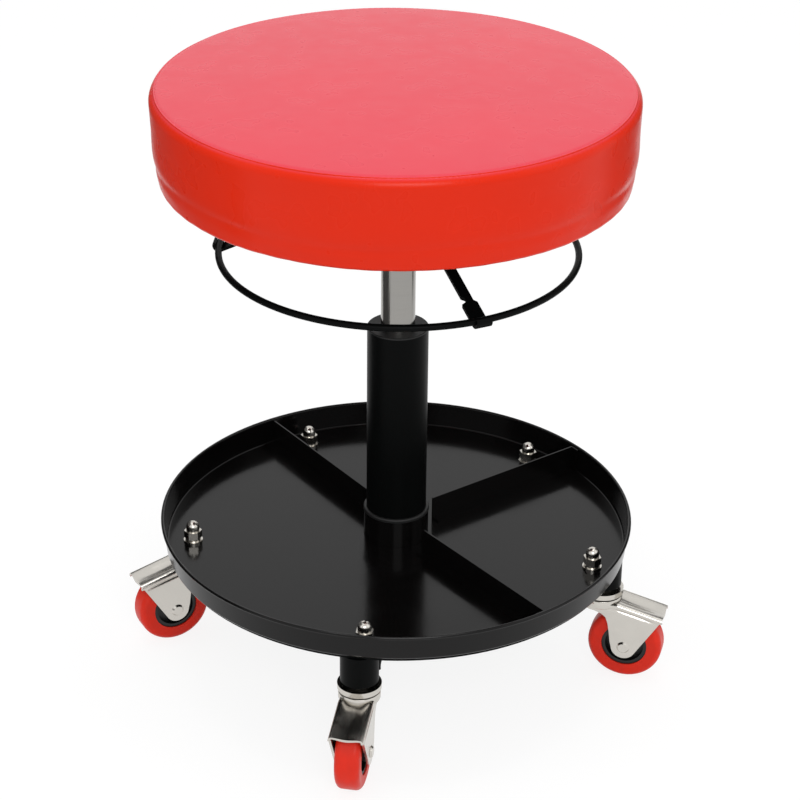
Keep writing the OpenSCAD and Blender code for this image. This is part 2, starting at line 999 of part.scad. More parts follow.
// Side view of a cheek: its top edge, its straight front edge, the round end and the swept rear
module cheek_side() {
    nose = [fork_reach, fork_top - nose_drop];
    span = norm([nose[0] - trail, nose[1] - axle_z]);
    lean = atan2(nose[1] - axle_z, nose[0] - trail);
    front = lean - acos(cheek_r / span);
    rise = fork_top - axle_z;
    polygon(concat(
        [for (p = back(rear_shares)) [p[0] * trail, axle_z + p[1] * rise]],
        arc(trail, axle_z, cheek_r, cheek_from, 360 + front, 2 * arc_steps),
        [nose, [slope_share * fork_reach, fork_top], [rear_shares[len(rear_shares) - 1][0] * trail, fork_top]]
    ));
}

// Side view of the web that joins the cheeks
module web_side() {
    web_end = web_share * fork_reach;
    bend = slope_share * fork_reach;
    polygon([
        [0, fork_top - web_drop],
        [bend, fork_top - web_drop],
        [web_end, fork_z(web_end) - web_drop],
        [web_end, fork_z(web_end) - web_drop - fork_t],
        [bend, fork_top - web_drop - fork_t],
        [0, fork_top - web_drop - fork_t]
    ]);
}

module fork_shape() {
    difference() {
        union() {
            for (side = [-1, 1])
                translate([0, side * (fork_w - fork_t) / 2, 0])
                    rotate([90, 0, 0])
                        linear_extrude(height = fork_t, center = true)
                            cheek_side();
            difference() {
                union() {
                    translate([0, 0, fork_top - head_h])
                        cylinder(r = fork_head_r, h = head_h);
                    rotate([90, 0, 0])
                        linear_extrude(height = fork_w - fork_t, center = true)
                            web_side();
                }
                translate([0, 0, fork_top - head_h - cut])
                    cylinder(r = fork_head_r - head_wall, h = head_h - fork_t + cut);
            }
            translate([0, 0, fork_top])
                ring(fork_head_r, fork_head_r - head_rim_t, head_rim_h);
        }
        translate([0, 0, fork_top - fork_t - cut])
            cylinder(r = stem_r + running, h = fork_t + 2 * cut);
        translate([trail, 0, axle_z])
            rotate([90, 0, 0])
                cylinder(r = axle_r + running, h = fork_w + 2 * cut, center = true);
    }
}

module fork(i) {
    color([0.75, 0.73, 0.70])
        at_caster(i)
            fork_shape();
}

module axle(i) {
    color([0.75, 0.73, 0.70])
        at_axle(i) {
            cylinder(r = axle_r, h = fork_w, center = true);
            for (side = [0, 1])
                mirror([0, 0, side])
                    translate([0, 0, fork_w / 2])
                        cylinder(r1 = axle_head_r, r2 = axle_r, h = axle_head_t);
        }
}

module core(i) {
    bore = axle_r + running;
    boss = fork_w / 2 - fork_t - gap;
    rim = tyre_w / 2 - core_recess;
    rim_in = core_r - core_rim_t;
    half = [
        [bore, boss],
        [core_boss_r, boss],
        [core_boss_r, core_web / 2],
        [rim_in, core_web / 2],
        [rim_in, rim],
        [core_r, rim]
    ];
    color([0.09, 0.09, 0.09])
        at_axle(i)
            rotate_extrude()
                polygon(concat(half, [for (p = back(half)) [p[0], -p[1]]]));
}

module tyre(i) {
    side = tyre_w / 2;
    inner = core_r + running;
    color([0.78, 0.13, 0.12])
        at_axle(i)
            rotate_extrude()
                polygon(concat(
                    [[inner, -side]],
                    arc(wheel_r - tyre_round, tyre_round - side, tyre_round, -90, 0, arc_steps),
                    arc(wheel_r - tyre_round, side - tyre_round, tyre_round, 0, 90, arc_steps),
                    [[inner, side]]
                ));
}

module fork_front() {
    fork(0);
}

module fork_right() {
    fork(1);
}

module fork_back() {
    fork(2);
}

module fork_left() {
    fork(3);
}

module axle_front() {
    axle(0);
}

module axle_right() {
    axle(1);
}

module axle_back() {
    axle(2);
}

module axle_left() {
    axle(3);
}

module core_front() {
    core(0);
}

module core_right() {
    core(1);
}

module core_back() {
    core(2);
}

module core_left() {
    core(3);
}

module tyre_front() {
    tyre(0);
}

module tyre_right() {
    tyre(1);
}

module tyre_back() {
    tyre(2);
}

module tyre_left() {
    tyre(3);
}

seat_cover();
seat_welt();
seat_foam();
seat_board();
dust_cover();
t_nuts();
plate_screws();
mounting_plate();
lever_housing();
gas_cylinder();
rod_gland();
lever_hub();
lever_arm_front();
lever_arm_back();
lever_arm_left();
lever_rivets();
lever_ring();
valve_pin();
gas_rod();
rod_piston();
thrust_bearing();
bump_stop();
rod_clip();
column_tube();
column_bushing();
column_floor();
column_socket();
socket_collar();
tray_pan();
divider_back_left();
divider_back_right();
divider_front_right();
support_plate();
base_legs();
caster_bosses();
weld_studs();
flat_washers();
spring_washers();
dome_nuts();
caster_stems();
caster_cups();
caster_balls();
fork_front();
fork_right();
fork_back();
fork_left();
axle_front();
axle_right();
axle_back();
axle_left();
core_front();
core_right();
core_back();
core_left();
tyre_front();
tyre_right();
tyre_back();
tyre_left();
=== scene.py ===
"""Looks of a creeper seat: vinyl cushion, gas lift with ring lever, divided tool tray and swivel casters."""

import json
import math

import bpy
from mathutils import Matrix, Vector, noise


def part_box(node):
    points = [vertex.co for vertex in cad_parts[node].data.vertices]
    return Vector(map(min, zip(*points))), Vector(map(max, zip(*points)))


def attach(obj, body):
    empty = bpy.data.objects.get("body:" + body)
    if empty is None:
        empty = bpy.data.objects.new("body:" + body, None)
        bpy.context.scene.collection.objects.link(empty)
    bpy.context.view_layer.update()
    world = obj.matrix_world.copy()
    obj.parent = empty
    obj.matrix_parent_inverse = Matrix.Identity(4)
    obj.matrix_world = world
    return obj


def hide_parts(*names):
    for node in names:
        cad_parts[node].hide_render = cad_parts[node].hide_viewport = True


bl_info = {
    "name": "Creeper seat",
    "version": (1, 0, 0),
    "blender": (4, 5, 0),
    "location": "View3D > Sidebar > Creeper seat",
    "description": "Builds the looks of a round creeper seat around its packed frame",
    "category": "Object",
}

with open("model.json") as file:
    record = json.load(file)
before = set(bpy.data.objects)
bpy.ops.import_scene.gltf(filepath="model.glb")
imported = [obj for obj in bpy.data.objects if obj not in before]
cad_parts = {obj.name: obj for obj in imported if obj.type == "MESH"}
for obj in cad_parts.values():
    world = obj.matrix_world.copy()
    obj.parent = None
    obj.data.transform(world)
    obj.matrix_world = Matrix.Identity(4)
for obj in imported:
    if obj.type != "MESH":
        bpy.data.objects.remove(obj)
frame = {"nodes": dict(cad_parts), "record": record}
NODES = frame["nodes"]
SLOT_OF = {part["node"]: part["material_slot"] for part in frame["record"]["subparts"]}
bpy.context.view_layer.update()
COVER_LOW, COVER_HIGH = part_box("seat_cover")
COVER_RADIUS = (COVER_HIGH[0] - COVER_LOW[0]) / 2
COVER_X = (COVER_HIGH[0] + COVER_LOW[0]) / 2
COVER_Y = (COVER_HIGH[1] + COVER_LOW[1]) / 2
COVER_MIDDLE_Z = (COVER_HIGH[2] + COVER_LOW[2]) / 2

MM = 0.001
CASTERS = ("front", "right", "back", "left")
# Headings of the four legs, how far out their casters stand, and the radii of bosses and socket
LEG_HEADINGS = (261, 351, 81, 171)
LEG_REACH = 176.7 * MM
BOSS_RADIUS = 15.5 * MM
SOCKET_RADIUS = 27.05 * MM
# Directions in which the wheels trail, and the fork's side view from the CAD source, in millimetres from
# its swivel axis and the floor: the cheek's lower edge up to the axle's lug, and the top's slope
TRAIL_HEADINGS = (259.5, 344.5, 75, 208.1)
CHEEK_REAR = ((-12.3, 67.2), (-8.6, 64.9), (-2.7, 63.7), (2.7, 61.8), (6.4, 58.8), (8.4, 53.2), (9.8, 45.2),
              (11.1, 35.2))
AXLE = (22.7, 31.5)
LUG_RADIUS = 10.5
NOSE = (54.5, 63.5)
FORK_TOP, SLOPE_FROM = 72.5, 15.7
# Where dish and groove begin, the groove's place and reach below the bend, and the steps of the fork's skin
DISH_FROM, GROOVE_DOWN, GROOVE_REACH = 6, 2.2, 1.1
FINE_STEP, STATION_STEP, STATIONS = 0.35, 1.3, 52
LUG_START, LUG_STEPS = -176, 24
HEAD_RADIUS, HEAD_HEIGHT, STEM_HOLE = 17, 6, 5.25
# The photograph's camera, fitted to the circles of the seat, ring, column, tray and wheels
LENS, LENS_SHIFT = 109.1, 0.00345
CAMERA_PLACE = (0, -1.7667, 1.1644)
CAMERA_DOWN, CAMERA_ROLL = math.radians(27.605), 0.0098
# The cushion's rise in the CAD source, which its box takes in
CAD_CROWN = 5 * MM
# How far up the rounded edge, from the side band, the seam is sewn
SEAM_TURN = math.radians(60)
# How far the cover sits off the board's middle at its base
BASE_CREEP = 0.6 * MM
# Shares of the draw-in that come at once below the edge and near the base, and where the latter starts
EARLY_SHARE, LATE_SHARE, LATE_FROM = 0.19, 0.81, 0.55


# Sizes and colours


class CushionLooks(bpy.types.PropertyGroup):
    vinyl: bpy.props.StringProperty(
        name="Vinyl colour", description="Colour of the cover, as a hex value", default="#E02600")
    crown: bpy.props.FloatProperty(
        name="Crown", description="How far the middle of the seat stands above its edge",
        default=4.5 * MM, min=0, max=12 * MM, unit="LENGTH")
    edge_round: bpy.props.FloatProperty(
        name="Edge rounding", description="Radius between the top panel and the side band",
        default=8.5 * MM, min=3 * MM, max=12 * MM, unit="LENGTH")
    base_round: bpy.props.FloatProperty(
        name="Base rounding", description="Radius where the cover turns under the board",
        default=4.5 * MM, min=3 * MM, max=18 * MM, unit="LENGTH")
    draw_in: bpy.props.FloatProperty(
        name="Draw-in", description="How much narrower the cushion is at its base",
        default=4.5 * MM, min=0, max=12 * MM, unit="LENGTH")
    crease: bpy.props.FloatProperty(
        name="Crease depth", description="Depth of the soft crease above the turned-under edge",
        default=1.1 * MM, min=0, max=3 * MM, unit="LENGTH")
    lean: bpy.props.FloatVectorProperty(
        name="Lean", description="How far the top panel has crept off the middle of the board",
        default=(-1.2 * MM, 0), size=2, unit="LENGTH")
    seam_radius: bpy.props.FloatProperty(
        name="Seam bead", description="Radius of the sewn bead round the top panel",
        default=1.1 * MM, min=0.8 * MM, max=2.5 * MM, unit="LENGTH")
    stitch_pitch: bpy.props.FloatProperty(
        name="Stitch pitch", description="Distance from one stitch to the next along the seam",
        default=5 * MM, min=3 * MM, max=9 * MM, unit="LENGTH")


class FinishLooks(bpy.types.PropertyGroup):
    powder: bpy.props.StringProperty(
        name="Powder coat", description="Colour of the column, lever and legs, as a hex value",
        default="#070808")
    enamel: bpy.props.StringProperty(
        name="Tray enamel", description="Colour of the tray and its dividers, as a hex value",
        default="#080707")
    chrome: bpy.props.StringProperty(
        name="Hard chrome", description="Colour of the lift tube, as a hex value", default="#9C9A96")
    zinc: bpy.props.StringProperty(
        name="Zinc plate", description="Colour of the forks, nuts and washers, as a hex value",
        default="#CFCBC4")
    tyre: bpy.props.StringProperty(
        name="Tyre", description="Colour of the cast tyres, as a hex value", default="#E22A14")
    hub: bpy.props.StringProperty(
        name="Wheel core", description="Colour of the moulded wheel cores, as a hex value",
        default="#0E0F0F")


class CasterLooks(bpy.types.PropertyGroup):
    width: bpy.props.FloatProperty(
        name="Fork width", description="Outer width of a fork", default=28.5 * MM, unit="LENGTH")
    sheet: bpy.props.FloatProperty(
        name="Sheet", description="Thickness of a fork's pressed sheet", default=2 * MM, unit="LENGTH")
    bend: bpy.props.FloatProperty(
        name="Bend", description="Outer radius of the bends between web and cheeks",
        default=3.2 * MM, unit="LENGTH")
    dish: bpy.props.FloatProperty(
        name="Dish", description="Depth of the dished web in its middle", default=2.6 * MM, unit="LENGTH")
    groove: bpy.props.FloatProperty(
        name="Groove", description="Depth of the groove pressed in below each bend",
        default=1.1 * MM, unit="LENGTH")


class StageLooks(bpy.types.PropertyGroup):
    floor: bpy.props.StringProperty(
        name="Floor", description="Colour of the floor, as a hex value", default="#E8E8E8")
    daylight: bpy.props.FloatProperty(
        name="Fill light", description="Strength of the even light from all round",
        default=0.72, min=0, max=2)
    softbox: bpy.props.FloatProperty(
        name="Softbox", description="Power of the lamp above the seat, in watts",
        default=9, min=0, max=200)
    strips: bpy.props.FloatProperty(
        name="Side lamps", description="Power of each lamp beside the seat, in watts",
        default=1.5, min=0, max=200)
    front: bpy.props.FloatProperty(
        name="Front lamp", description="Power of the lamp beside the camera, in watts",
        default=24, min=0, max=200)


# Small helpers


def linear(code, share=1.0):
    """A hex colour as linear red, green, blue and 1, made darker by a share."""
    parts = [int(code[i:i + 2], 16) / 255 for i in (1, 3, 5)]
    parts = [p / 12.92 if p <= 0.04045 else ((p + 0.055) / 1.055) ** 2.4 for p in parts]
    return [p * share for p in parts] + [1.0]


def per(size):
    """Texture scale at which one feature is this many millimetres wide."""
    return 1 / (size * MM)


def add(tree, kind, settings=None, inputs=None):
    """Adds a node with its settings, and gives each input a value or a link from another node."""
    node = tree.nodes.new(kind)
    for name, value in (settings or {}).items():
        setattr(node, name, value)
    for name, value in (inputs or {}).items():
        if isinstance(value, bpy.types.NodeSocket):
            tree.links.new(value, node.inputs[name])
        else:
            node.inputs[name].default_value = value
    return node


def finish_of(name, make):
    """The material of that name, made once."""
    material = bpy.data.materials.get(name)
    if material is None:
        material = bpy.data.materials.new(name)
        material.use_nodes = True
        tree = material.node_tree
        tree.nodes.clear()
        place = add(tree, "ShaderNodeTexCoord").outputs["Object"]
        shader = make(tree, place)
        add(tree, "ShaderNodeOutputMaterial", inputs={"Surface": shader.outputs[0]})
        material.diffuse_color = shader.inputs["Base Color"].default_value
    return material


def looks():
    return bpy.context.scene.creeper_looks


def new_mesh(name, points, faces):
    mesh = bpy.data.meshes.new(name)
    mesh.from_pydata(points, [], faces)
    mesh.update()
    mesh.polygons.foreach_set("use_smooth", [True] * len(mesh.polygons))
    piece = bpy.data.objects.new(name, mesh)
    bpy.context.scene.collection.objects.link(piece)
    return piece


def lathe(name, outline, turns):
    """A closed skin turned round the Z axis from a half outline that starts and ends on the axis."""
    points = [(0, 0, outline[0][1])]
    for r, z in outline[1:-1]:
        points += [
            (r * math.cos(2 * math.pi * k / turns), r * math.sin(2 * math.pi * k / turns), z)
            for k in range(turns)
        ]
    points.append((0, 0, outline[-1][1]))
    faces = [(0, 1 + k, 1 + (k + 1) % turns) for k in range(turns)]
    rows = len(outline) - 2
    for row in range(rows - 1):
        a, b = 1 + row * turns, 1 + (row + 1) * turns
        faces += [(a + k, b + k, b + (k + 1) % turns, a + (k + 1) % turns) for k in range(turns)]
    last, end = 1 + (rows - 1) * turns, len(points) - 1
    faces += [(end, last + (k + 1) % turns, last + k) for k in range(turns)]
    return new_mesh(name, points, faces)


def tube(name, runs, sides=8):
    """Round beads of changing thickness: runs of (point, radius), closed where first and last meet."""
    points, faces = [], []
    for run in runs:
        closed = (run[0][0] - run[-1][0]).length < 1e-6
        run = run[:-1] if closed else run
        count, start = len(run), len(points)
        for i, (p, r) in enumerate(run):
            ahead = run[(i + 1) % count][0] if closed or i + 1 < count else p
            behind = run[i - 1][0] if closed or i else p
            along = (ahead - behind).normalized()
            side = along.cross(Vector((0, 0, 1)))
            side = side.normalized() if side.length > 1e-4 else Vector((1, 0, 0))
            up = side.cross(along)
            for k in range(sides):
                a = 2 * math.pi * k / sides
                points.append(p + r * (math.cos(a) * side + math.sin(a) * up))
        for i in range(count if closed else count - 1):
            a, b = start + i * sides, start + ((i + 1) % count) * sides
            faces += [(a + k, a + (k + 1) % sides, b + (k + 1) % sides, b + k) for k in range(sides)]
        if not closed:
            faces.append([start + k for k in range(sides)][::-1])
            faces.append([start + (count - 1) * sides + k for k in range(sides)])
    return new_mesh(name, points, faces)


def ring_skin(loop, turns, centre):
    """Points and faces of a ring turned round a centre from a closed loop of (radius, height)."""
    points = [
        centre + Vector((r * math.cos(2 * math.pi * k / turns), r * math.sin(2 * math.pi * k / turns), z))
        for r, z in loop for k in range(turns)
    ]
    faces = []
    for i in range(len(loop)):
        a, b = i * turns, (i + 1) % len(loop) * turns
        faces += [(a + k, a + (k + 1) % turns, b + (k + 1) % turns, b + k) for k in range(turns)]
    return points, faces


def between(points, x):
    """Height at x on a line through points that are sorted by x."""
    for (x0, z0), (x1, z1) in zip(points, points[1:]):
        if x <= x1:
            return z0 + (z1 - z0) * max(0, x - x0) / (x1 - x0)
    return points[-1][1]


def dress(names, finish):
    """Gives carried-over CAD nodes a finish in all their material slots."""
    for name in names:
        mesh = NODES[name].data
        if not mesh.materials:
            mesh.materials.append(finish)
        for i in range(len(mesh.materials)):
            mesh.materials[i] = finish


def wear(piece, finish, body):
    """Gives a new piece its finish, which stands for one of the record's material slots, and the body that
    carries it.
    """
    piece.data.materials.append(finish)
    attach(piece, body)


def polar(r, heading, z):
    a = math.radians(heading)
    return Vector((r * math.cos(a), r * math.sin(a), z))


# Finishes


def coated_vinyl(tree, place):
    """PVC-coated fabric, calendered with a fine leather grain: an even, deep red that is clearly glossy."""
    cushion = looks().cushion
    red = linear(cushion.vinyl)
    cloud = add(tree, "ShaderNodeTexNoise", {}, {"Vector": place, "Scale": per(70), "Detail": 0.0})
    plain = add(tree, "ShaderNodeMix", {"data_type": "RGBA"},
                {0: cloud.outputs["Fac"], 6: linear(cushion.vinyl, 0.95), 7: red})
    # Painted sheen: where the panel faces up, its colour is mixed towards a cool pink that stands in for the
    # reflection of the lamp above
    facing = add(tree, "ShaderNodeSeparateXYZ", {}, {0: add(tree, "ShaderNodeTexCoord").outputs["Normal"]})
    painted_sheen = add(tree, "ShaderNodeMapRange", {"interpolation_type": "SMOOTHSTEP"},
               {"Value": facing.outputs["Z"], "From Min": 0.55, "From Max": 0.98,
                "To Min": 0.0, "To Max": 0.095})
    colour = add(tree, "ShaderNodeMix", {"data_type": "RGBA"},
                 {0: painted_sheen.outputs[0], 6: plain.outputs[2], 7: linear("#F0AAF0")})
    smear = add(tree, "ShaderNodeTexNoise", {}, {"Vector": place, "Scale": per(18), "Detail": 1.0})
    rough = add(tree, "ShaderNodeMapRange", {},
                {"Value": smear.outputs["Fac"], "From Min": 0.3, "From Max": 0.7,
                 "To Min": 0.26, "To Max": 0.33})
    # The grain is about 0.6 mm wide; it is drawn at 3 mm, because a finer one wouldn't show
    grain = add(tree, "ShaderNodeTexNoise", {}, {"Vector": place, "Scale": per(3), "Detail": 0.0})
    # Foam under the skin leaves shallow waves about 30 mm long
    swell = add(tree, "ShaderNodeTexNoise", {}, {"Vector": place, "Scale": per(30), "Detail": 2.0})
    # Stitches gather the skin beside the seam: a ripple round the edge that fades within 3 mm
    centred = add(tree, "ShaderNodeVectorMath", {"operation": "SUBTRACT"},
                  {0: place, 1: (COVER_X, COVER_Y, 0)})
    parts = add(tree, "ShaderNodeSeparateXYZ", {}, {0: centred.outputs[0]})
    flat = add(tree, "ShaderNodeCombineXYZ", {}, {0: parts.outputs["X"], 1: parts.outputs["Y"]})
    reach = add(tree, "ShaderNodeVectorMath", {"operation": "LENGTH"}, {0: flat.outputs[0]})
    rim = add(tree, "ShaderNodeMapRange", {"interpolation_type": "SMOOTHSTEP"},
              {"Value": reach.outputs["Value"], "From Min": COVER_RADIUS - 8 * MM,
               "From Max": COVER_RADIUS - 2 * MM})
    turn = add(tree, "ShaderNodeMath", {"operation": "ARCTAN2"},
               {0: parts.outputs["Y"], 1: parts.outputs["X"]})
    count = round(2 * math.pi * COVER_RADIUS / cushion.stitch_pitch)
    phase = add(tree, "ShaderNodeMath", {"operation": "MULTIPLY"}, {0: turn.outputs[0], 1: float(count)})
    ripple = add(tree, "ShaderNodeMath", {"operation": "SINE"}, {0: phase.outputs[0]})
    seam_z = COVER_HIGH[2] - CAD_CROWN - cushion.edge_round * (1 - math.sin(SEAM_TURN))
    away = add(tree, "ShaderNodeMath", {"operation": "SUBTRACT"}, {0: parts.outputs["Z"], 1: seam_z})
    near = add(tree, "ShaderNodeMath", {"operation": "ABSOLUTE"}, {0: away.outputs[0]})
    fade = add(tree, "ShaderNodeMapRange", {"interpolation_type": "SMOOTHSTEP"},
               {"Value": near.outputs[0], "From Min": 0.001, "From Max": 0.004,
                "To Min": 1.0, "To Max": 0.0})
    beside = add(tree, "ShaderNodeMath", {"operation": "MULTIPLY"}, {0: fade.outputs[0], 1: rim.outputs[0]})
    gather = add(tree, "ShaderNodeMath", {"operation": "MULTIPLY"},
                 {0: ripple.outputs[0], 1: beside.outputs[0]})
    waves = add(tree, "ShaderNodeBump", {},
                {"Height": swell.outputs["Fac"], "Strength": 0.35, "Distance": 1.2 * MM})
    puckers = add(tree, "ShaderNodeBump", {},
                  {"Height": gather.outputs[0], "Strength": 0.25, "Distance": 0.2 * MM,
                   "Normal": waves.outputs[0]})
    skin = add(tree, "ShaderNodeBump", {},
               {"Height": grain.outputs["Fac"], "Strength": 0.08, "Distance": 0.1 * MM,
                "Normal": puckers.outputs[0]})
    return add(tree, "ShaderNodeBsdfPrincipled", {},
               {"Base Color": colour.outputs[2], "Roughness": rough.outputs[0], "IOR": 1.46,
                "Specular IOR Level": 0.21, "Normal": skin.outputs[0]})


def moulded_foam(tree, place):
    """Moulded polyurethane foam: pale, matt and full of small open cells."""
    cells = add(tree, "ShaderNodeTexVoronoi", {}, {"Vector": place, "Scale": per(1.6)})
    colour = add(tree, "ShaderNodeMix", {"data_type": "RGBA"},
                 {0: cells.outputs["Distance"], 6: linear("#CDBF8E"), 7: linear("#E9DDB0")})
    bump = add(tree, "ShaderNodeBump", {},
               {"Height": cells.outputs["Distance"], "Strength": 0.6, "Distance": 0.6 * MM})
    return add(tree, "ShaderNodeBsdfPrincipled", {},
               {"Base Color": colour.outputs[2], "Roughness": 0.95, "IOR": 1.45, "Normal": bump.outputs[0]})


def birch_ply(tree, place):
    """Sanded birch plywood: pale long grain on the faces and thin darker glue lines on the edge."""
    stretched = add(tree, "ShaderNodeMapping", {}, {"Vector": place, "Scale": (0.08, 1.0, 1.0)})
    grain = add(tree, "ShaderNodeTexNoise", {},
                {"Vector": stretched.outputs[0], "Scale": per(2.5), "Detail": 6.0, "Distortion": 0.4})
    plies = add(tree, "ShaderNodeTexWave", {"wave_type": "BANDS", "bands_direction": "Z"},
                {"Vector": place, "Scale": per(1.5) / 20, "Distortion": 0.3})
    face = add(tree, "ShaderNodeMix", {"data_type": "RGBA"},
               {0: grain.outputs["Fac"], 6: linear("#B58A54"), 7: linear("#DDBE8C")})
    colour = add(tree, "ShaderNodeMix", {"data_type": "RGBA", "blend_type": "MULTIPLY"},
                 {0: 0.35, 6: face.outputs[2], 7: plies.outputs["Color"]})
    bump = add(tree, "ShaderNodeBump", {},
               {"Height": grain.outputs["Fac"], "Strength": 0.4, "Distance": 0.2 * MM})
    return add(tree, "ShaderNodeBsdfPrincipled", {},
               {"Base Color": colour.outputs[2], "Roughness": 0.7, "IOR": 1.45, "Normal": bump.outputs[0]})


def dust_sheet(tree, place):
    """Spunbond polypropylene sheet: dull black, with rows of small welded dimples 2 mm apart."""
    dimples = add(tree, "ShaderNodeTexVoronoi", {}, {"Vector": place, "Scale": per(2), "Randomness": 0.15})
    fibres = add(tree, "ShaderNodeTexNoise", {}, {"Vector": place, "Scale": per(0.8), "Detail": 4.0})
    colour = add(tree, "ShaderNodeMix", {"data_type": "RGBA"},
                 {0: fibres.outputs["Fac"], 6: linear("#0E0E0E"), 7: linear("#242424")})
    pressed = add(tree, "ShaderNodeBump", {},
                  {"Height": dimples.outputs["Distance"], "Strength": 0.6, "Distance": 0.3 * MM})
    return add(tree, "ShaderNodeBsdfPrincipled", {},
               {"Base Color": colour.outputs[2], "Roughness": 0.92, "IOR": 1.49, "Specular IOR Level": 0.25,
                "Normal": pressed.outputs[0]})


def powder_coat(tree, place):
    """Polyester powder coat, baked on steel: near black, half gloss, with a faint orange peel."""
    black = looks().finish.powder
    cloud = add(tree, "ShaderNodeTexNoise", {}, {"Vector": place, "Scale": per(45), "Detail": 3.0})
    colour = add(tree, "ShaderNodeMix", {"data_type": "RGBA"},
                 {0: cloud.outputs["Fac"], 6: linear(black, 0.85), 7: linear(black, 1.25)})
    rough = add(tree, "ShaderNodeMapRange", {},
                {"Value": cloud.outputs["Fac"], "From Min": 0.3, "From Max": 0.7,
                 "To Min": 0.34, "To Max": 0.42})
    peel = add(tree, "ShaderNodeTexNoise", {}, {"Vector": place, "Scale": per(4), "Detail": 0.0})
    bump = add(tree, "ShaderNodeBump", {},
               {"Height": peel.outputs["Fac"], "Strength": 0.22, "Distance": 0.15 * MM})
    return add(tree, "ShaderNodeBsdfPrincipled", {},
               {"Base Color": colour.outputs[2], "Roughness": rough.outputs[0], "IOR": 1.5,
                "Specular IOR Level": 0.05, "Normal": bump.outputs[0]})


def tray_enamel(tree, place):
    """Stoved enamel on pressed sheet steel: warm black, smooth enough to mirror its neighbours softly."""
    black = looks().finish.enamel
    cloud = add(tree, "ShaderNodeTexNoise", {}, {"Vector": place, "Scale": per(60), "Detail": 4.0})
    colour = add(tree, "ShaderNodeMix", {"data_type": "RGBA"},
                 {0: cloud.outputs["Fac"], 6: linear(black, 0.85), 7: linear(black, 1.25)})
    rough = add(tree, "ShaderNodeMapRange", {},
                {"Value": cloud.outputs["Fac"], "From Min": 0.3, "From Max": 0.7,
                 "To Min": 0.12, "To Max": 0.19})
    peel = add(tree, "ShaderNodeTexNoise", {}, {"Vector": place, "Scale": per(5), "Detail": 2.0})
    bump = add(tree, "ShaderNodeBump", {},
               {"Height": peel.outputs["Fac"], "Strength": 0.12, "Distance": 0.15 * MM})
    return add(tree, "ShaderNodeBsdfPrincipled", {},
               {"Base Color": colour.outputs[2], "Roughness": rough.outputs[0], "IOR": 1.5,
                "Specular IOR Level": 0.22, "Normal": bump.outputs[0]})


def hard_chrome(tree, place):
    """Hard chrome on a ground tube: bright and slightly grey, with fine grinding lines round it."""
    chrome = looks().finish.chrome
    # The lines are about 0.1 mm apart; they are drawn at 0.9 mm, because finer ones wouldn't show
    stretched = add(tree, "ShaderNodeMapping", {}, {"Vector": place, "Scale": (0.03, 0.03, 1.0)})
    lines = add(tree, "ShaderNodeTexNoise", {},
                {"Vector": stretched.outputs[0], "Scale": per(0.9), "Detail": 3.0})
    rough = add(tree, "ShaderNodeMapRange", {},
                {"Value": lines.outputs["Fac"], "From Min": 0.3, "From Max": 0.7,
                 "To Min": 0.13, "To Max": 0.2})
    colour = add(tree, "ShaderNodeMix", {"data_type": "RGBA"},
                 {0: lines.outputs["Fac"], 6: linear(chrome, 0.86), 7: linear(chrome)})
    bump = add(tree, "ShaderNodeBump", {},
               {"Height": lines.outputs["Fac"], "Strength": 0.12, "Distance": 0.05 * MM})
    return add(tree, "ShaderNodeBsdfPrincipled", {},
               {"Base Color": colour.outputs[2], "Metallic": 1.0, "Roughness": rough.outputs[0],
                "Normal": bump.outputs[0]})


def zinc_plate(tree, place):
    """Bright zinc electroplate on pressed steel: silvery and slightly warm, in cloudy patches of gloss."""
    zinc = looks().finish.zinc
    patches = add(tree, "ShaderNodeTexNoise", {}, {"Vector": place, "Scale": per(11), "Detail": 1.0})
    drawn = add(tree, "ShaderNodeMapping", {}, {"Vector": place, "Scale": (1.0, 1.0, 0.12)})
    scuffs = add(tree, "ShaderNodeTexNoise", {},
                 {"Vector": drawn.outputs[0], "Scale": per(3), "Detail": 0.0})
    colour = add(tree, "ShaderNodeMix", {"data_type": "RGBA"},
                 {0: patches.outputs["Fac"], 6: linear(zinc, 0.9), 7: linear(zinc)})
    rough = add(tree, "ShaderNodeMapRange", {},
                {"Value": patches.outputs["Fac"], "From Min": 0.3, "From Max": 0.7,
                 "To Min": 0.17, "To Max": 0.24})
    bump = add(tree, "ShaderNodeBump", {},
               {"Height": scuffs.outputs["Fac"], "Strength": 0.08, "Distance": 0.03 * MM})
    return add(tree, "ShaderNodeBsdfPrincipled", {},
               {"Base Color": colour.outputs[2], "Metallic": 1.0, "Roughness": rough.outputs[0],
                "Normal": bump.outputs[0]})


def ground_steel(tree, place):
    """Plain carbon steel, ground and lightly oiled: mid grey metal with fine turning marks."""
    turned = add(tree, "ShaderNodeMapping", {}, {"Vector": place, "Scale": (0.05, 0.05, 1.0)})
    marks = add(tree, "ShaderNodeTexNoise", {},
                {"Vector": turned.outputs[0], "Scale": per(0.7), "Detail": 3.0})
    colour = add(tree, "ShaderNodeMix", {"data_type": "RGBA"},
                 {0: marks.outputs["Fac"], 6: linear("#8A8A8A"), 7: linear("#B2B1AE")})
    rough = add(tree, "ShaderNodeMapRange", {},
                {"Value": marks.outputs["Fac"], "From Min": 0.3, "From Max": 0.7,
                 "To Min": 0.25, "To Max": 0.42})
    bump = add(tree, "ShaderNodeBump", {},
               {"Height": marks.outputs["Fac"], "Strength": 0.2, "Distance": 0.05 * MM})
    return add(tree, "ShaderNodeBsdfPrincipled", {},
               {"Base Color": colour.outputs[2], "Metallic": 1.0, "Roughness": rough.outputs[0],
                "Normal": bump.outputs[0]})


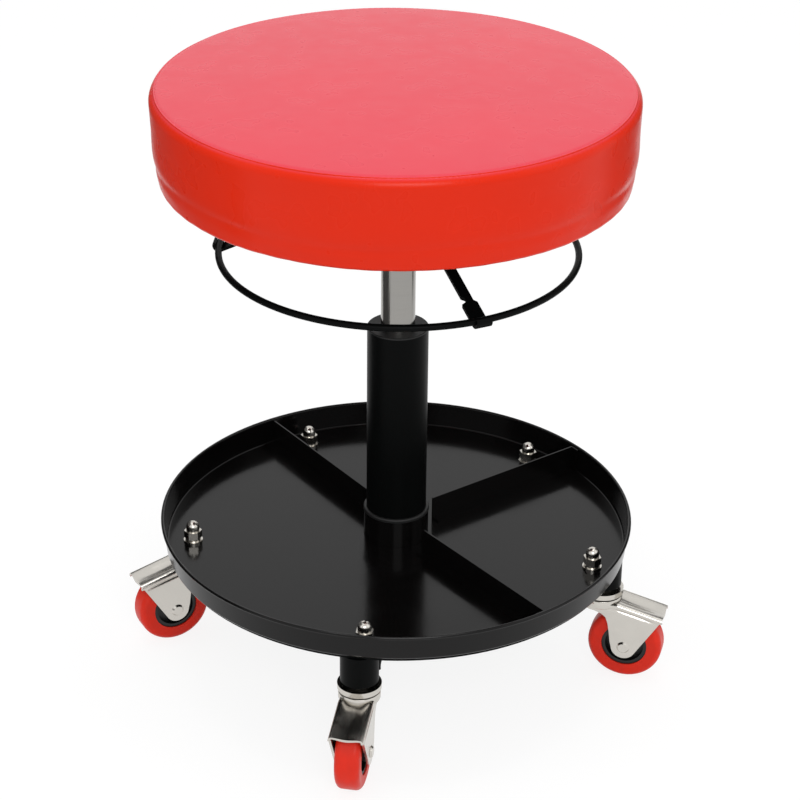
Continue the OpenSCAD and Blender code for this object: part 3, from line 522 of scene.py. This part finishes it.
def moulded_nylon(tree, place):
    """Glass-filled nylon, injection moulded: dull black with a fine spark-eroded texture."""
    spark = add(tree, "ShaderNodeTexNoise", {}, {"Vector": place, "Scale": per(0.9), "Detail": 3.0})
    colour = add(tree, "ShaderNodeMix", {"data_type": "RGBA"},
                 {0: spark.outputs["Fac"], 6: linear("#0F0F0F"), 7: linear("#1B1B1B")})
    bump = add(tree, "ShaderNodeBump", {},
               {"Height": spark.outputs["Fac"], "Strength": 0.35, "Distance": 0.1 * MM})
    return add(tree, "ShaderNodeBsdfPrincipled", {},
               {"Base Color": colour.outputs[2], "Roughness": 0.5, "IOR": 1.53, "Specular IOR Level": 0.35,
                "Normal": bump.outputs[0]})


def cured_rubber(tree, place):
    """Vulcanised rubber: matt black with a soft bloom."""
    bloom = add(tree, "ShaderNodeTexNoise", {}, {"Vector": place, "Scale": per(6), "Detail": 4.0})
    colour = add(tree, "ShaderNodeMix", {"data_type": "RGBA"},
                 {0: bloom.outputs["Fac"], 6: linear("#0E0E0E"), 7: linear("#1E1E1E")})
    bump = add(tree, "ShaderNodeBump", {},
               {"Height": bloom.outputs["Fac"], "Strength": 0.3, "Distance": 0.1 * MM})
    return add(tree, "ShaderNodeBsdfPrincipled", {},
               {"Base Color": colour.outputs[2], "Roughness": 0.78, "IOR": 1.52, "Normal": bump.outputs[0]})


def moulded_core(tree, place):
    """Polypropylene, injection moulded: cool near-black with a soft gloss."""
    hub = looks().finish.hub
    flow = add(tree, "ShaderNodeTexNoise", {}, {"Vector": place, "Scale": per(7), "Detail": 3.0})
    colour = add(tree, "ShaderNodeMix", {"data_type": "RGBA"},
                 {0: flow.outputs["Fac"], 6: linear(hub, 0.8), 7: linear(hub, 1.2)})
    bump = add(tree, "ShaderNodeBump", {},
               {"Height": flow.outputs["Fac"], "Strength": 0.2, "Distance": 0.1 * MM})
    return add(tree, "ShaderNodeBsdfPrincipled", {},
               {"Base Color": colour.outputs[2], "Roughness": 0.42, "IOR": 1.49, "Specular IOR Level": 0.4,
                "Normal": bump.outputs[0]})


def cast_tyre(tree, place):
    """Cast polyurethane: saturated red, waxy half gloss, with a little floor dust ground into it."""
    tyre = looks().finish.tyre
    dust = add(tree, "ShaderNodeTexNoise", {}, {"Vector": place, "Scale": per(8), "Detail": 1.0})
    colour = add(tree, "ShaderNodeMix", {"data_type": "RGBA"},
                 {0: dust.outputs["Fac"], 6: linear(tyre, 0.85), 7: linear(tyre, 1.05)})
    rough = add(tree, "ShaderNodeMapRange", {},
                {"Value": dust.outputs["Fac"], "From Min": 0.3, "From Max": 0.7,
                 "To Min": 0.34, "To Max": 0.5})
    bump = add(tree, "ShaderNodeBump", {},
               {"Height": dust.outputs["Fac"], "Strength": 0.2, "Distance": 0.15 * MM})
    return add(tree, "ShaderNodeBsdfPrincipled", {},
               {"Base Color": colour.outputs[2], "Roughness": rough.outputs[0], "IOR": 1.5,
                "Specular IOR Level": 0.25, "Normal": bump.outputs[0]})


FINISHES = {
    "red_vinyl": coated_vinyl,
    "seat_foam": moulded_foam,
    "plywood": birch_ply,
    "black_sheet": dust_sheet,
    "black_paint": powder_coat,
    "tray_paint": tray_enamel,
    "satin_chrome": hard_chrome,
    "zinc": zinc_plate,
    "plain_steel": ground_steel,
    "black_plastic": moulded_nylon,
    "black_rubber": cured_rubber,
    "wheel_core": moulded_core,
    "red_tyre": cast_tyre,
}


def finish(slot):
    """The finish that stands for one of the record's material slots."""
    make = FINISHES[slot]
    return finish_of(make.__name__, make)


def dress_by_slot(names):
    for name in names:
        dress([name], finish(SLOT_OF[name]))


# Cushion


def cushion_outline(cushion):
    """Half outline of the filled cover in metres, and the rows that the board and the seam hold."""
    r_top, z_low = COVER_RADIUS, COVER_LOW[2]
    z_top = COVER_HIGH[2] - CAD_CROWN
    rt, rb = cushion.edge_round, cushion.base_round
    flat = r_top - cushion.draw_in - rb
    rows, held = [], []
    for s in (0, 0.08, 0.18, 0.28, 0.38, 0.47, 0.56, 0.64, 0.71, 0.78, 0.84, 0.89, 0.93, 0.96, 0.98):
        rows.append((s * (r_top - rt), z_top + cushion.crown * (1 - s * s)))
    for i in range(13):
        a = math.radians(90 - 90 * i / 12)
        held.append(len(rows))
        rows.append((r_top - rt + rt * math.cos(a), z_top - rt + rt * math.sin(a)))
    side_top, side_low = z_top - rt, z_low + rb
    for i in range(1, 22):
        t = i / 22
        late = max(0, (t - LATE_FROM) / (1 - LATE_FROM)) ** 1.6
        bow = EARLY_SHARE * min(1, 3 * t) + LATE_SHARE * late
        rows.append((r_top - cushion.draw_in * bow, side_top + (side_low - side_top) * t))
    for i in range(11):
        a = math.radians(-90 * i / 10)
        if i > 3:
            held.append(len(rows))
        rows.append((flat + rb * math.cos(a), side_low + rb * math.sin(a)))
    for s in (0.97, 0.9, 0.75, 0.5, 0.25, 0):
        held.append(len(rows))
        rows.append((s * flat, z_low))
    return rows, held


def middle_at(z, cushion):
    """Middle of the cushion at a height: over the board at the base, and off by the lean at the top."""
    share = (z - COVER_LOW[2]) / (COVER_HIGH[2] - CAD_CROWN - COVER_LOW[2])
    return Vector((COVER_X + BASE_CREEP + cushion.lean[0] * share, COVER_Y + cushion.lean[1] * share, 0))


def fill_with_foam(piece, held, pressure, cap):
    """Swells the cover as its foam does, by cloth pressure: seam and base are held, each point is capped."""
    scene = bpy.context.scene
    reach = max(math.hypot(v.co.x, v.co.y) for v in piece.data.vertices)
    rest = [v.co.copy() for v in piece.data.vertices]
    group = piece.vertex_groups.new(name="held")
    group.add(held, 1.0, "REPLACE")
    cloth = piece.modifiers.new("foam_pressure", "CLOTH")
    skin = cloth.settings
    skin.quality = 5
    skin.mass = 0.4
    skin.tension_stiffness = 30
    skin.compression_stiffness = 30
    skin.shear_stiffness = 15
    skin.bending_stiffness = 5
    skin.vertex_group_mass = group.name
    skin.use_pressure = True
    skin.uniform_pressure_force = pressure
    skin.effector_weights.gravity = 0
    cloth.collision_settings.use_collision = False
    for step in range(1, 21):
        scene.frame_set(step)
    swollen = piece.evaluated_get(bpy.context.evaluated_depsgraph_get()).data
    moved = [v.co.copy() for v in swollen.vertices]
    piece.modifiers.remove(cloth)
    piece.vertex_groups.remove(group)
    scene.frame_set(1)
    for vertex, before, after in zip(piece.data.vertices, rest, moved):
        push = after - before
        if push.length > cap:
            push *= cap / push.length
        # Towards the middle the fine mesh folds on itself, so there only the rise is kept
        inside = max(0, 1 - math.hypot(before.x, before.y) / (0.7 * reach))
        if inside and before.z > COVER_MIDDLE_Z:
            push = push.lerp(Vector((0, 0, cap)), min(1, 2.5 * inside))
        vertex.co = before + push


def soften(piece, cushion):
    """Presses the soft crease in above the turned-under edge, and gathers the skin where it turns under."""
    crease_up, crease_reach = 18 * MM, 3.2 * MM
    lump, gather, gathers = 0.5 * MM, 0.45 * MM, 60
    crease_z = COVER_LOW[2] + crease_up
    under_z = COVER_LOW[2] + cushion.base_round
    for vertex in piece.data.vertices:
        x, y, z = vertex.co
        r = math.hypot(x, y)
        if r < 0.8 * COVER_RADIUS:
            continue
        turn = math.atan2(y, x)
        out = Vector((x / r, y / r, 0))
        lumps = noise.noise(Vector((3 * x / r, 3 * y / r, 9 * z)))
        drift = noise.noise(Vector((2 * x / r, 2 * y / r, 7.3))) * 3 * MM
        dent = math.exp(-((z - crease_z - drift) / crease_reach) ** 2)
        push = lump * lumps - cushion.crease * (0.7 + 0.5 * lumps) * dent
        if z < under_z:
            tuck = min(1, (under_z - z) / cushion.base_round)
            push += gather * tuck * math.sin(gathers * turn + 2.5 * lumps)
        vertex.co += push * out


class SEAT_OT_cushion(bpy.types.Operator):
    """Builds the filled vinyl cushion in place of the plain cover and foam"""
    bl_idname = "creeper.cushion"
    bl_label = "Vinyl cushion"

    def execute(self, context):
        cushion = looks().cushion
        turns = 160
        outline, held_rows = cushion_outline(cushion)
        piece = lathe("cushion", outline, turns)
        held = [
            1 + (row - 1) * turns + k
            for row in held_rows if row < len(outline) - 1 for k in range(turns)
        ]
        held.append(len(piece.data.vertices) - 1)
        fill_with_foam(piece, held, pressure=2.0, cap=0.6 * MM)
        soften(piece, cushion)
        for vertex in piece.data.vertices:
            vertex.co += middle_at(vertex.co.z, cushion)
        smooth = piece.modifiers.new("smooth", "SUBSURF")
        smooth.levels = smooth.render_levels = 1
        wear(piece, finish("red_vinyl"), "seat")
        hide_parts("seat_cover", "seat_foam")
        return {"FINISHED"}


class SEAT_OT_seam(bpy.types.Operator):
    """Builds the sewn bead round the top panel, gathered at each stitch"""
    bl_idname = "creeper.seam"
    bl_label = "Seam bead"

    def execute(self, context):
        cushion = looks().cushion
        # The bead is sunk by half its radius into the rounded edge
        bend = cushion.edge_round - 0.5 * cushion.seam_radius
        r = COVER_RADIUS - cushion.edge_round + bend * math.cos(SEAM_TURN)
        z = COVER_HIGH[2] - CAD_CROWN - cushion.edge_round + bend * math.sin(SEAM_TURN)
        middle = middle_at(z, cushion)
        stitches = round(2 * math.pi * r / cushion.stitch_pitch)
        steps = stitches * 6
        run = []
        for k in range(steps + 1):
            turn = k % steps / steps
            a = 2 * math.pi * turn
            swing = 0.14 * noise.noise(Vector((4 * math.cos(a), 4 * math.sin(a), 1.7)))
            bulge = 0.94 + 0.03 * math.cos(2 * math.pi * turn * stitches) + swing
            point = middle + Vector((r * math.cos(a), r * math.sin(a), z))
            run.append((point, cushion.seam_radius * bulge))
        piece = tube("cushion_seam", [run])
        wear(piece, finish("red_vinyl"), "seat")
        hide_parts("seat_welt")
        return {"FINISHED"}


class SEAT_OT_underside(bpy.types.Operator):
    """Finishes the board, dust cover and mounting plate, and staples the dust cover down"""
    bl_idname = "creeper.underside"
    bl_label = "Underside of the seat"

    def execute(self, context):
        dress_by_slot(["seat_board", "dust_cover", "t_nuts", "plate_screws", "mounting_plate",
                       "lever_housing"])
        low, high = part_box("dust_cover")
        inset, half, wire, sunk, leg = 6 * MM, 5 * MM, 0.45 * MM, 0.6, 0.8 * MM
        r, z, count = (high[0] - low[0]) / 2 - inset, low[2], 40
        centre = Vector((COVER_X, COVER_Y, 0))
        runs = []
        for k in range(count):
            heading = 360 * (k + 0.5) / count
            middle = centre + polar(r, heading, z)
            along = polar(1, heading + 90, 0)
            down = Vector((0, 0, -wire * sunk))
            up = Vector((0, 0, leg))
            runs.append([(middle - half * along + up, wire), (middle - half * along + down, wire),
                         (middle + down, wire * 1.05), (middle + half * along + down, wire),
                         (middle + half * along + up, wire)])
        staples = tube("cover_staples", runs, sides=6)
        wear(staples, finish("plain_steel"), "seat")
        return {"FINISHED"}


# Metalwork


class SEAT_OT_lift(bpy.types.Operator):
    """Finishes the gas lift and the parts that turn inside the column"""
    bl_idname = "creeper.lift"
    bl_label = "Gas lift"

    def execute(self, context):
        dress_by_slot(["gas_cylinder", "rod_gland", "valve_pin", "gas_rod", "rod_piston", "thrust_bearing",
                       "bump_stop", "rod_clip"])
        return {"FINISHED"}


class SEAT_OT_lever(bpy.types.Operator):
    """Finishes the ring lever, its three arms and its hub"""
    bl_idname = "creeper.lever"
    bl_label = "Ring lever"

    def execute(self, context):
        dress_by_slot(["lever_hub", "lever_arm_front", "lever_arm_back", "lever_arm_left", "lever_rivets",
                       "lever_ring"])
        return {"FINISHED"}


class SEAT_OT_column(bpy.types.Operator):
    """Finishes the column, its bush and the socket that it stands in"""
    bl_idname = "creeper.column"
    bl_label = "Column"

    def execute(self, context):
        dress_by_slot(["column_tube", "column_bushing", "column_floor", "column_socket", "socket_collar"])
        return {"FINISHED"}


class SEAT_OT_tray(bpy.types.Operator):
    """Finishes the tool tray and its dividers"""
    bl_idname = "creeper.tray"
    bl_label = "Tool tray"

    def execute(self, context):
        dress_by_slot(["tray_pan", "divider_back_left", "divider_back_right", "divider_front_right"])
        return {"FINISHED"}


class SEAT_OT_fasteners(bpy.types.Operator):
    """Finishes the studs, washers and dome nuts that hold the tray"""
    bl_idname = "creeper.fasteners"
    bl_label = "Nuts and washers"

    def execute(self, context):
        dress_by_slot(["weld_studs", "flat_washers", "spring_washers", "dome_nuts"])
        return {"FINISHED"}


class SEAT_OT_base(bpy.types.Operator):
    """Finishes the base and lays the weld beads that join its legs, bosses and socket"""
    bl_idname = "creeper.base"
    bl_label = "Base and welds"

    def execute(self, context):
        dress_by_slot(["support_plate", "base_legs", "caster_bosses"])
        legs_low, legs_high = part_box("base_legs")
        half = 15 * MM
        bead = 1.3 * MM
        runs = []
        for heading in LEG_HEADINGS:
            out, side = polar(1, heading, 0), polar(1, heading + 90, 0)
            hub = LEG_REACH * out
            for hand in (-1, 1):
                reach = math.sqrt(BOSS_RADIUS ** 2 - (half * 0.98) ** 2)
                z0, z1 = legs_low[2], legs_high[2] - 1 * MM
                root = math.sqrt(SOCKET_RADIUS ** 2 - half ** 2)
                for start in (hub - reach * out + hand * half * side, root * out + hand * half * side):
                    steps = 18
                    run = []
                    for i in range(steps + 1):
                        uneven = 0.1 * noise.noise(Vector((9.1 * i, heading, hand)))
                        point = Vector((start.x, start.y, z0 + (z1 - z0) * i / steps))
                        run.append((point, bead * (0.85 + 0.18 * (i % 2) + uneven)))
                    runs.append(run)
        welds = tube("leg_welds", runs)
        wear(welds, finish("black_paint"), "base")
        return {"FINISHED"}


def cheek_line():
    """Lower edge of a fork's cheek in millimetres: the swept rear, the lug round the axle and the nose."""
    rise, run = NOSE[1] - AXLE[1], NOSE[0] - AXLE[0]
    last = math.degrees(math.atan2(rise, run) - math.acos(LUG_RADIUS / math.hypot(rise, run)))
    lug = []
    for i in range(LUG_STEPS + 1):
        a = math.radians(LUG_START + (last - LUG_START) * i / LUG_STEPS)
        lug.append((AXLE[0] + LUG_RADIUS * math.cos(a), AXLE[1] + LUG_RADIUS * math.sin(a)))
    return list(CHEEK_REAR) + lug + [NOSE]


def fork_section(x, line, caster):
    """Half of a fork's outer skin across the swivel plane at x, from the cheek's edge to the web's middle."""
    half, bend = caster.width / 2 / MM, caster.bend / MM
    top = between(((-20, FORK_TOP), (SLOPE_FROM, FORK_TOP), NOSE), x)
    depth = max(top - between(line, x), bend + 0.6)
    # Groove and dish run out towards the head and the nose
    share = min(1, max(0, (x - DISH_FROM) / (NOSE[0] - DISH_FROM)))
    swell = math.sin(math.pi * share) ** 0.7 if 0 < share < 1 else 0
    rows, count, fine, last = [], 30, 18, 0
    for i in range(count):
        down = bend + min(FINE_STEP * i, (depth - bend) * i / (count - 1))
        if i > fine:
            down = last + (depth - last) * (i - fine) / (count - 1 - fine)
        elif i == fine:
            last = down
        pressed = math.exp(-((down - bend - GROOVE_DOWN) / GROOVE_REACH) ** 2) * caster.groove / MM * swell
        rows.append((half - pressed, top - down))
    rows.reverse()
    for i in range(1, 9):
        a = math.radians(90 * i / 8)
        rows.append((half - bend + bend * math.cos(a), top - bend + bend * math.sin(a)))
    for i in range(1, 9):
        y = (half - bend) * (1 - i / 8)
        low = 0.5 * (1 - math.cos(math.pi * i / 8)) * caster.dish / MM * (0.35 + 0.65 * swell)
        rows.append((y, top - low))
    return rows


def fork_mesh(name, swivel, heading, caster):
    """A pressed fork with rounded bends, a groove below each and a dished web."""
    out, side = polar(MM, heading, 0), polar(MM, heading + 90, 0)
    line = cheek_line()
    even = {round(CHEEK_REAR[0][0] + STATION_STEP * i, 2) for i in range(STATIONS)}
    stations = sorted({round(x, 2) for x, z in line} | even)
    stations = [x for x in stations if x <= NOSE[0]]
    points, faces, width = [], [], 0
    for x in stations:
        half = fork_section(x, line, caster)
        whole = half + [(-y, z) for y, z in reversed(half[:-1])]
        width = len(whole)
        points += [swivel + x * out + y * side + Vector((0, 0, z * MM)) for y, z in whole]
    for i in range(len(stations) - 1):
        a, b = i * width, (i + 1) * width
        faces += [(a + k, a + k + 1, b + k + 1, b + k) for k in range(width - 1)]
    skin = new_mesh(name, points, faces)
    sheet = skin.modifiers.new("sheet", "SOLIDIFY")
    sheet.thickness = caster.sheet
    sheet.offset = -1
    edges = skin.modifiers.new("cut_edges", "EDGE_SPLIT")
    edges.split_angle = math.radians(50)
    return skin


def head_mesh(name, swivel):
    """The round head of a fork, with its raised rim and rolled lower edge."""
    top, low, r = FORK_TOP, FORK_TOP - HEAD_HEIGHT, HEAD_RADIUS
    loop = [(STEM_HOLE, top), (r - 1.9, top), (r - 1.5, top + 0.4), (r - 1.5, top + 1.7), (r - 1.2, top + 2),
            (r - 0.3, top + 2), (r, top + 1.7), (r, low + 1.6), (r - 0.4, low + 0.6), (r - 1.3, low),
            (r - 2.5, low + 0.2), (r - 2.5, top - 2.2), (STEM_HOLE, top - 2)]
    points, faces = ring_skin([(x * MM, z * MM) for x, z in loop], 72, swivel)
    return new_mesh(name, points, faces)


class SEAT_OT_casters(bpy.types.Operator):
    """Presses the four forks and finishes the stems, races, balls, axles, cores and tyres"""
    bl_idname = "creeper.casters"
    bl_label = "Casters"

    def execute(self, context):
        dress_by_slot(["caster_stems", "caster_cups", "caster_balls"])
        caster = looks().caster
        for place, leg, trail in zip(CASTERS, LEG_HEADINGS, TRAIL_HEADINGS):
            dress_by_slot([kind + "_" + place for kind in ("axle", "core", "tyre")])
            swivel = polar(LEG_REACH, leg, 0)
            body = "fork_" + place
            fork = fork_mesh("pressed_fork_" + place, swivel, trail, caster)
            head = head_mesh("fork_head_" + place, swivel)
            for piece in (fork, head):
                wear(piece, finish("zinc"), body)
            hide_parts(body)
        return {"FINISHED"}


# Camera and stage


class SEAT_OT_stage(bpy.types.Operator):
    """Sets the camera, the floor, the even light from all round and the lamps"""
    bl_idname = "creeper.stage"
    bl_label = "Camera, floor and light"

    def execute(self, context):
        stage = looks().stage
        scene = context.scene
        scene.view_settings.view_transform = "Standard"
        lens = bpy.data.cameras.new("photo_camera")
        lens.lens = LENS
        lens.sensor_width = 36
        lens.sensor_fit = "HORIZONTAL"
        lens.shift_x = LENS_SHIFT
        camera = bpy.data.objects.new("photo_camera", lens)
        scene.collection.objects.link(camera)
        camera.matrix_world = (
            Matrix.Translation(CAMERA_PLACE)
            @ Matrix.Rotation(math.pi / 2 - CAMERA_DOWN, 4, "X")
            @ Matrix.Rotation(CAMERA_ROLL, 4, "Z")
        )
        scene.camera = camera
        self.floor(stage)
        self.world(scene, stage)
        self.lamps(scene, stage)
        self.flags()
        return {"FINISHED"}

    def floor(self, stage):
        side = 12.0
        floor = new_mesh("floor", [(-side, -side, 0), (side, -side, 0), (side, side, 0), (-side, side, 0)],
                         [(0, 1, 2, 3)])
        material = bpy.data.materials.new("painted_floor")
        material.use_nodes = True
        tree = material.node_tree
        tree.nodes.clear()
        # Rays from the camera, metal or glass meet a floor that is white where nothing shades it
        path = add(tree, "ShaderNodeLightPath")
        seen = add(tree, "ShaderNodeMath", {"operation": "ADD"},
                   {0: path.outputs["Is Camera Ray"], 1: path.outputs["Is Glossy Ray"]})
        seen = add(tree, "ShaderNodeMath", {"operation": "ADD", "use_clamp": True},
                   {0: seen.outputs[0], 1: path.outputs["Is Transmission Ray"]})
        plain = add(tree, "ShaderNodeBsdfDiffuse", {}, {"Color": linear(stage.floor)})
        glow = add(tree, "ShaderNodeEmission", {}, {"Color": (1, 1, 1, 1), "Strength": 0.86})
        shaded = add(tree, "ShaderNodeBsdfDiffuse", {}, {"Color": (0.17, 0.17, 0.17, 1)})
        bright = add(tree, "ShaderNodeAddShader", {}, {0: glow.outputs[0], 1: shaded.outputs[0]})
        mixed = add(tree, "ShaderNodeMixShader", {},
                    {0: seen.outputs[0], 1: plain.outputs[0], 2: bright.outputs[0]})
        add(tree, "ShaderNodeOutputMaterial", {}, {"Surface": mixed.outputs[0]})
        floor.data.materials.append(material)

    def world(self, scene, stage):
        world = bpy.data.worlds.new("studio")
        world.use_nodes = True
        scene.world = world
        tree = world.node_tree
        tree.nodes.clear()
        path = add(tree, "ShaderNodeLightPath")
        seen = add(tree, "ShaderNodeMath", {"operation": "ADD"},
                   {0: path.outputs["Is Camera Ray"], 1: path.outputs["Is Glossy Ray"]})
        seen = add(tree, "ShaderNodeMath", {"operation": "ADD", "use_clamp": True},
                   {0: seen.outputs[0], 1: path.outputs["Is Transmission Ray"]})
        strength = add(tree, "ShaderNodeMapRange", {},
                       {"Value": seen.outputs[0], "To Min": stage.daylight, "To Max": 1.0})
        white = add(tree, "ShaderNodeBackground", {},
                    {"Color": (1, 1, 1, 1), "Strength": strength.outputs[0]})
        add(tree, "ShaderNodeOutputWorld", {}, {"Surface": white.outputs[0]})

    def lamps(self, scene, stage):
        aim = Vector((0, 0, 0.35))
        for name, place, size, power in (
            ("softbox_above", (0, -0.05, 2.25), (1.25, 0.4), stage.softbox),
            ("strip_left", (-1.9, -0.5, 1.3), (0.5, 1.6), stage.strips),
            ("strip_right", (1.9, -0.7, 1.3), (0.5, 1.6), stage.strips),
            ("front_fill", (0.3, -2.6, 1.9), (1.4, 1.0), stage.front),
        ):
            data = bpy.data.lights.new(name, "AREA")
            data.shape = "RECTANGLE"
            data.size, data.size_y = size
            data.energy = power
            lamp = bpy.data.objects.new(name, data)
            scene.collection.objects.link(lamp)
            lamp.location = place
            lamp.rotation_euler = (aim - Vector(place)).to_track_quat("-Z", "Y").to_euler()

    def flags(self):
        """Grey cards beside the set, as a photographer sets them for metal: only mirroring surfaces see them"""
        for name, x, y0, y1, high in (
            ("flag_left", -0.62, -0.3, 1.3, 0.9), ("flag_low", -0.37, -0.26, 0.2, 0.15),
            ("flag_right", 0.7, 0.15, 1.3, 0.9),
        ):
            low = 0.001
            corners = [(x, y0, low), (x, y1, low), (x, y1, high), (x, y0, high)]
            card = new_mesh(name, corners, [(0, 1, 2, 3)])
            material = bpy.data.materials.new(name)
            material.use_nodes = True
            tree = material.node_tree
            tree.nodes.clear()
            card_stock = add(tree, "ShaderNodeBsdfDiffuse", {}, {"Color": linear("#6E6E6E")})
            add(tree, "ShaderNodeOutputMaterial", {}, {"Surface": card_stock.outputs[0]})
            card.data.materials.append(material)
            card.visible_camera = card.visible_diffuse = card.visible_shadow = False


# Add-on


class CreeperLooks(bpy.types.PropertyGroup):
    cushion: bpy.props.PointerProperty(
        type=CushionLooks, name="Cushion", description="Sizes and colour of the cushion")
    finish: bpy.props.PointerProperty(
        type=FinishLooks, name="Finishes", description="Colours of the other finishes")
    caster: bpy.props.PointerProperty(
        type=CasterLooks, name="Casters", description="Shape of the pressed forks")
    stage: bpy.props.PointerProperty(type=StageLooks, name="Stage", description="Floor and light")


OPERATORS = (
    SEAT_OT_stage, SEAT_OT_cushion, SEAT_OT_seam, SEAT_OT_underside, SEAT_OT_lift, SEAT_OT_lever,
    SEAT_OT_column, SEAT_OT_tray, SEAT_OT_fasteners, SEAT_OT_base, SEAT_OT_casters,
)


class SEAT_PT_panel(bpy.types.Panel):
    """Lists the seat's sizes, colours and pieces"""
    bl_idname = "SEAT_PT_panel"
    bl_label = "Creeper seat"
    bl_space_type = "VIEW_3D"
    bl_region_type = "UI"
    bl_category = "Creeper seat"

    def draw(self, context):
        for group in (looks().cushion, looks().finish, looks().caster, looks().stage):
            box = self.layout.box()
            for name in type(group).__annotations__:
                box.prop(group, name)
        for operator in OPERATORS:
            self.layout.operator(operator.bl_idname)


CLASSES = (CushionLooks, FinishLooks, CasterLooks, StageLooks, CreeperLooks) + OPERATORS + (SEAT_PT_panel,)


def register():
    for each in CLASSES:
        bpy.utils.register_class(each)
    bpy.types.Scene.creeper_looks = bpy.props.PointerProperty(type=CreeperLooks)


def unregister():
    del bpy.types.Scene.creeper_looks
    for each in reversed(CLASSES):
        bpy.utils.unregister_class(each)


def main():
    register()
    bpy.ops.creeper.stage()
    bpy.ops.creeper.cushion()
    bpy.ops.creeper.seam()
    bpy.ops.creeper.underside()
    bpy.ops.creeper.lift()
    bpy.ops.creeper.lever()
    bpy.ops.creeper.column()
    bpy.ops.creeper.tray()
    bpy.ops.creeper.fasteners()
    bpy.ops.creeper.base()
    bpy.ops.creeper.casters()


if __name__ == "__main__":
    main()
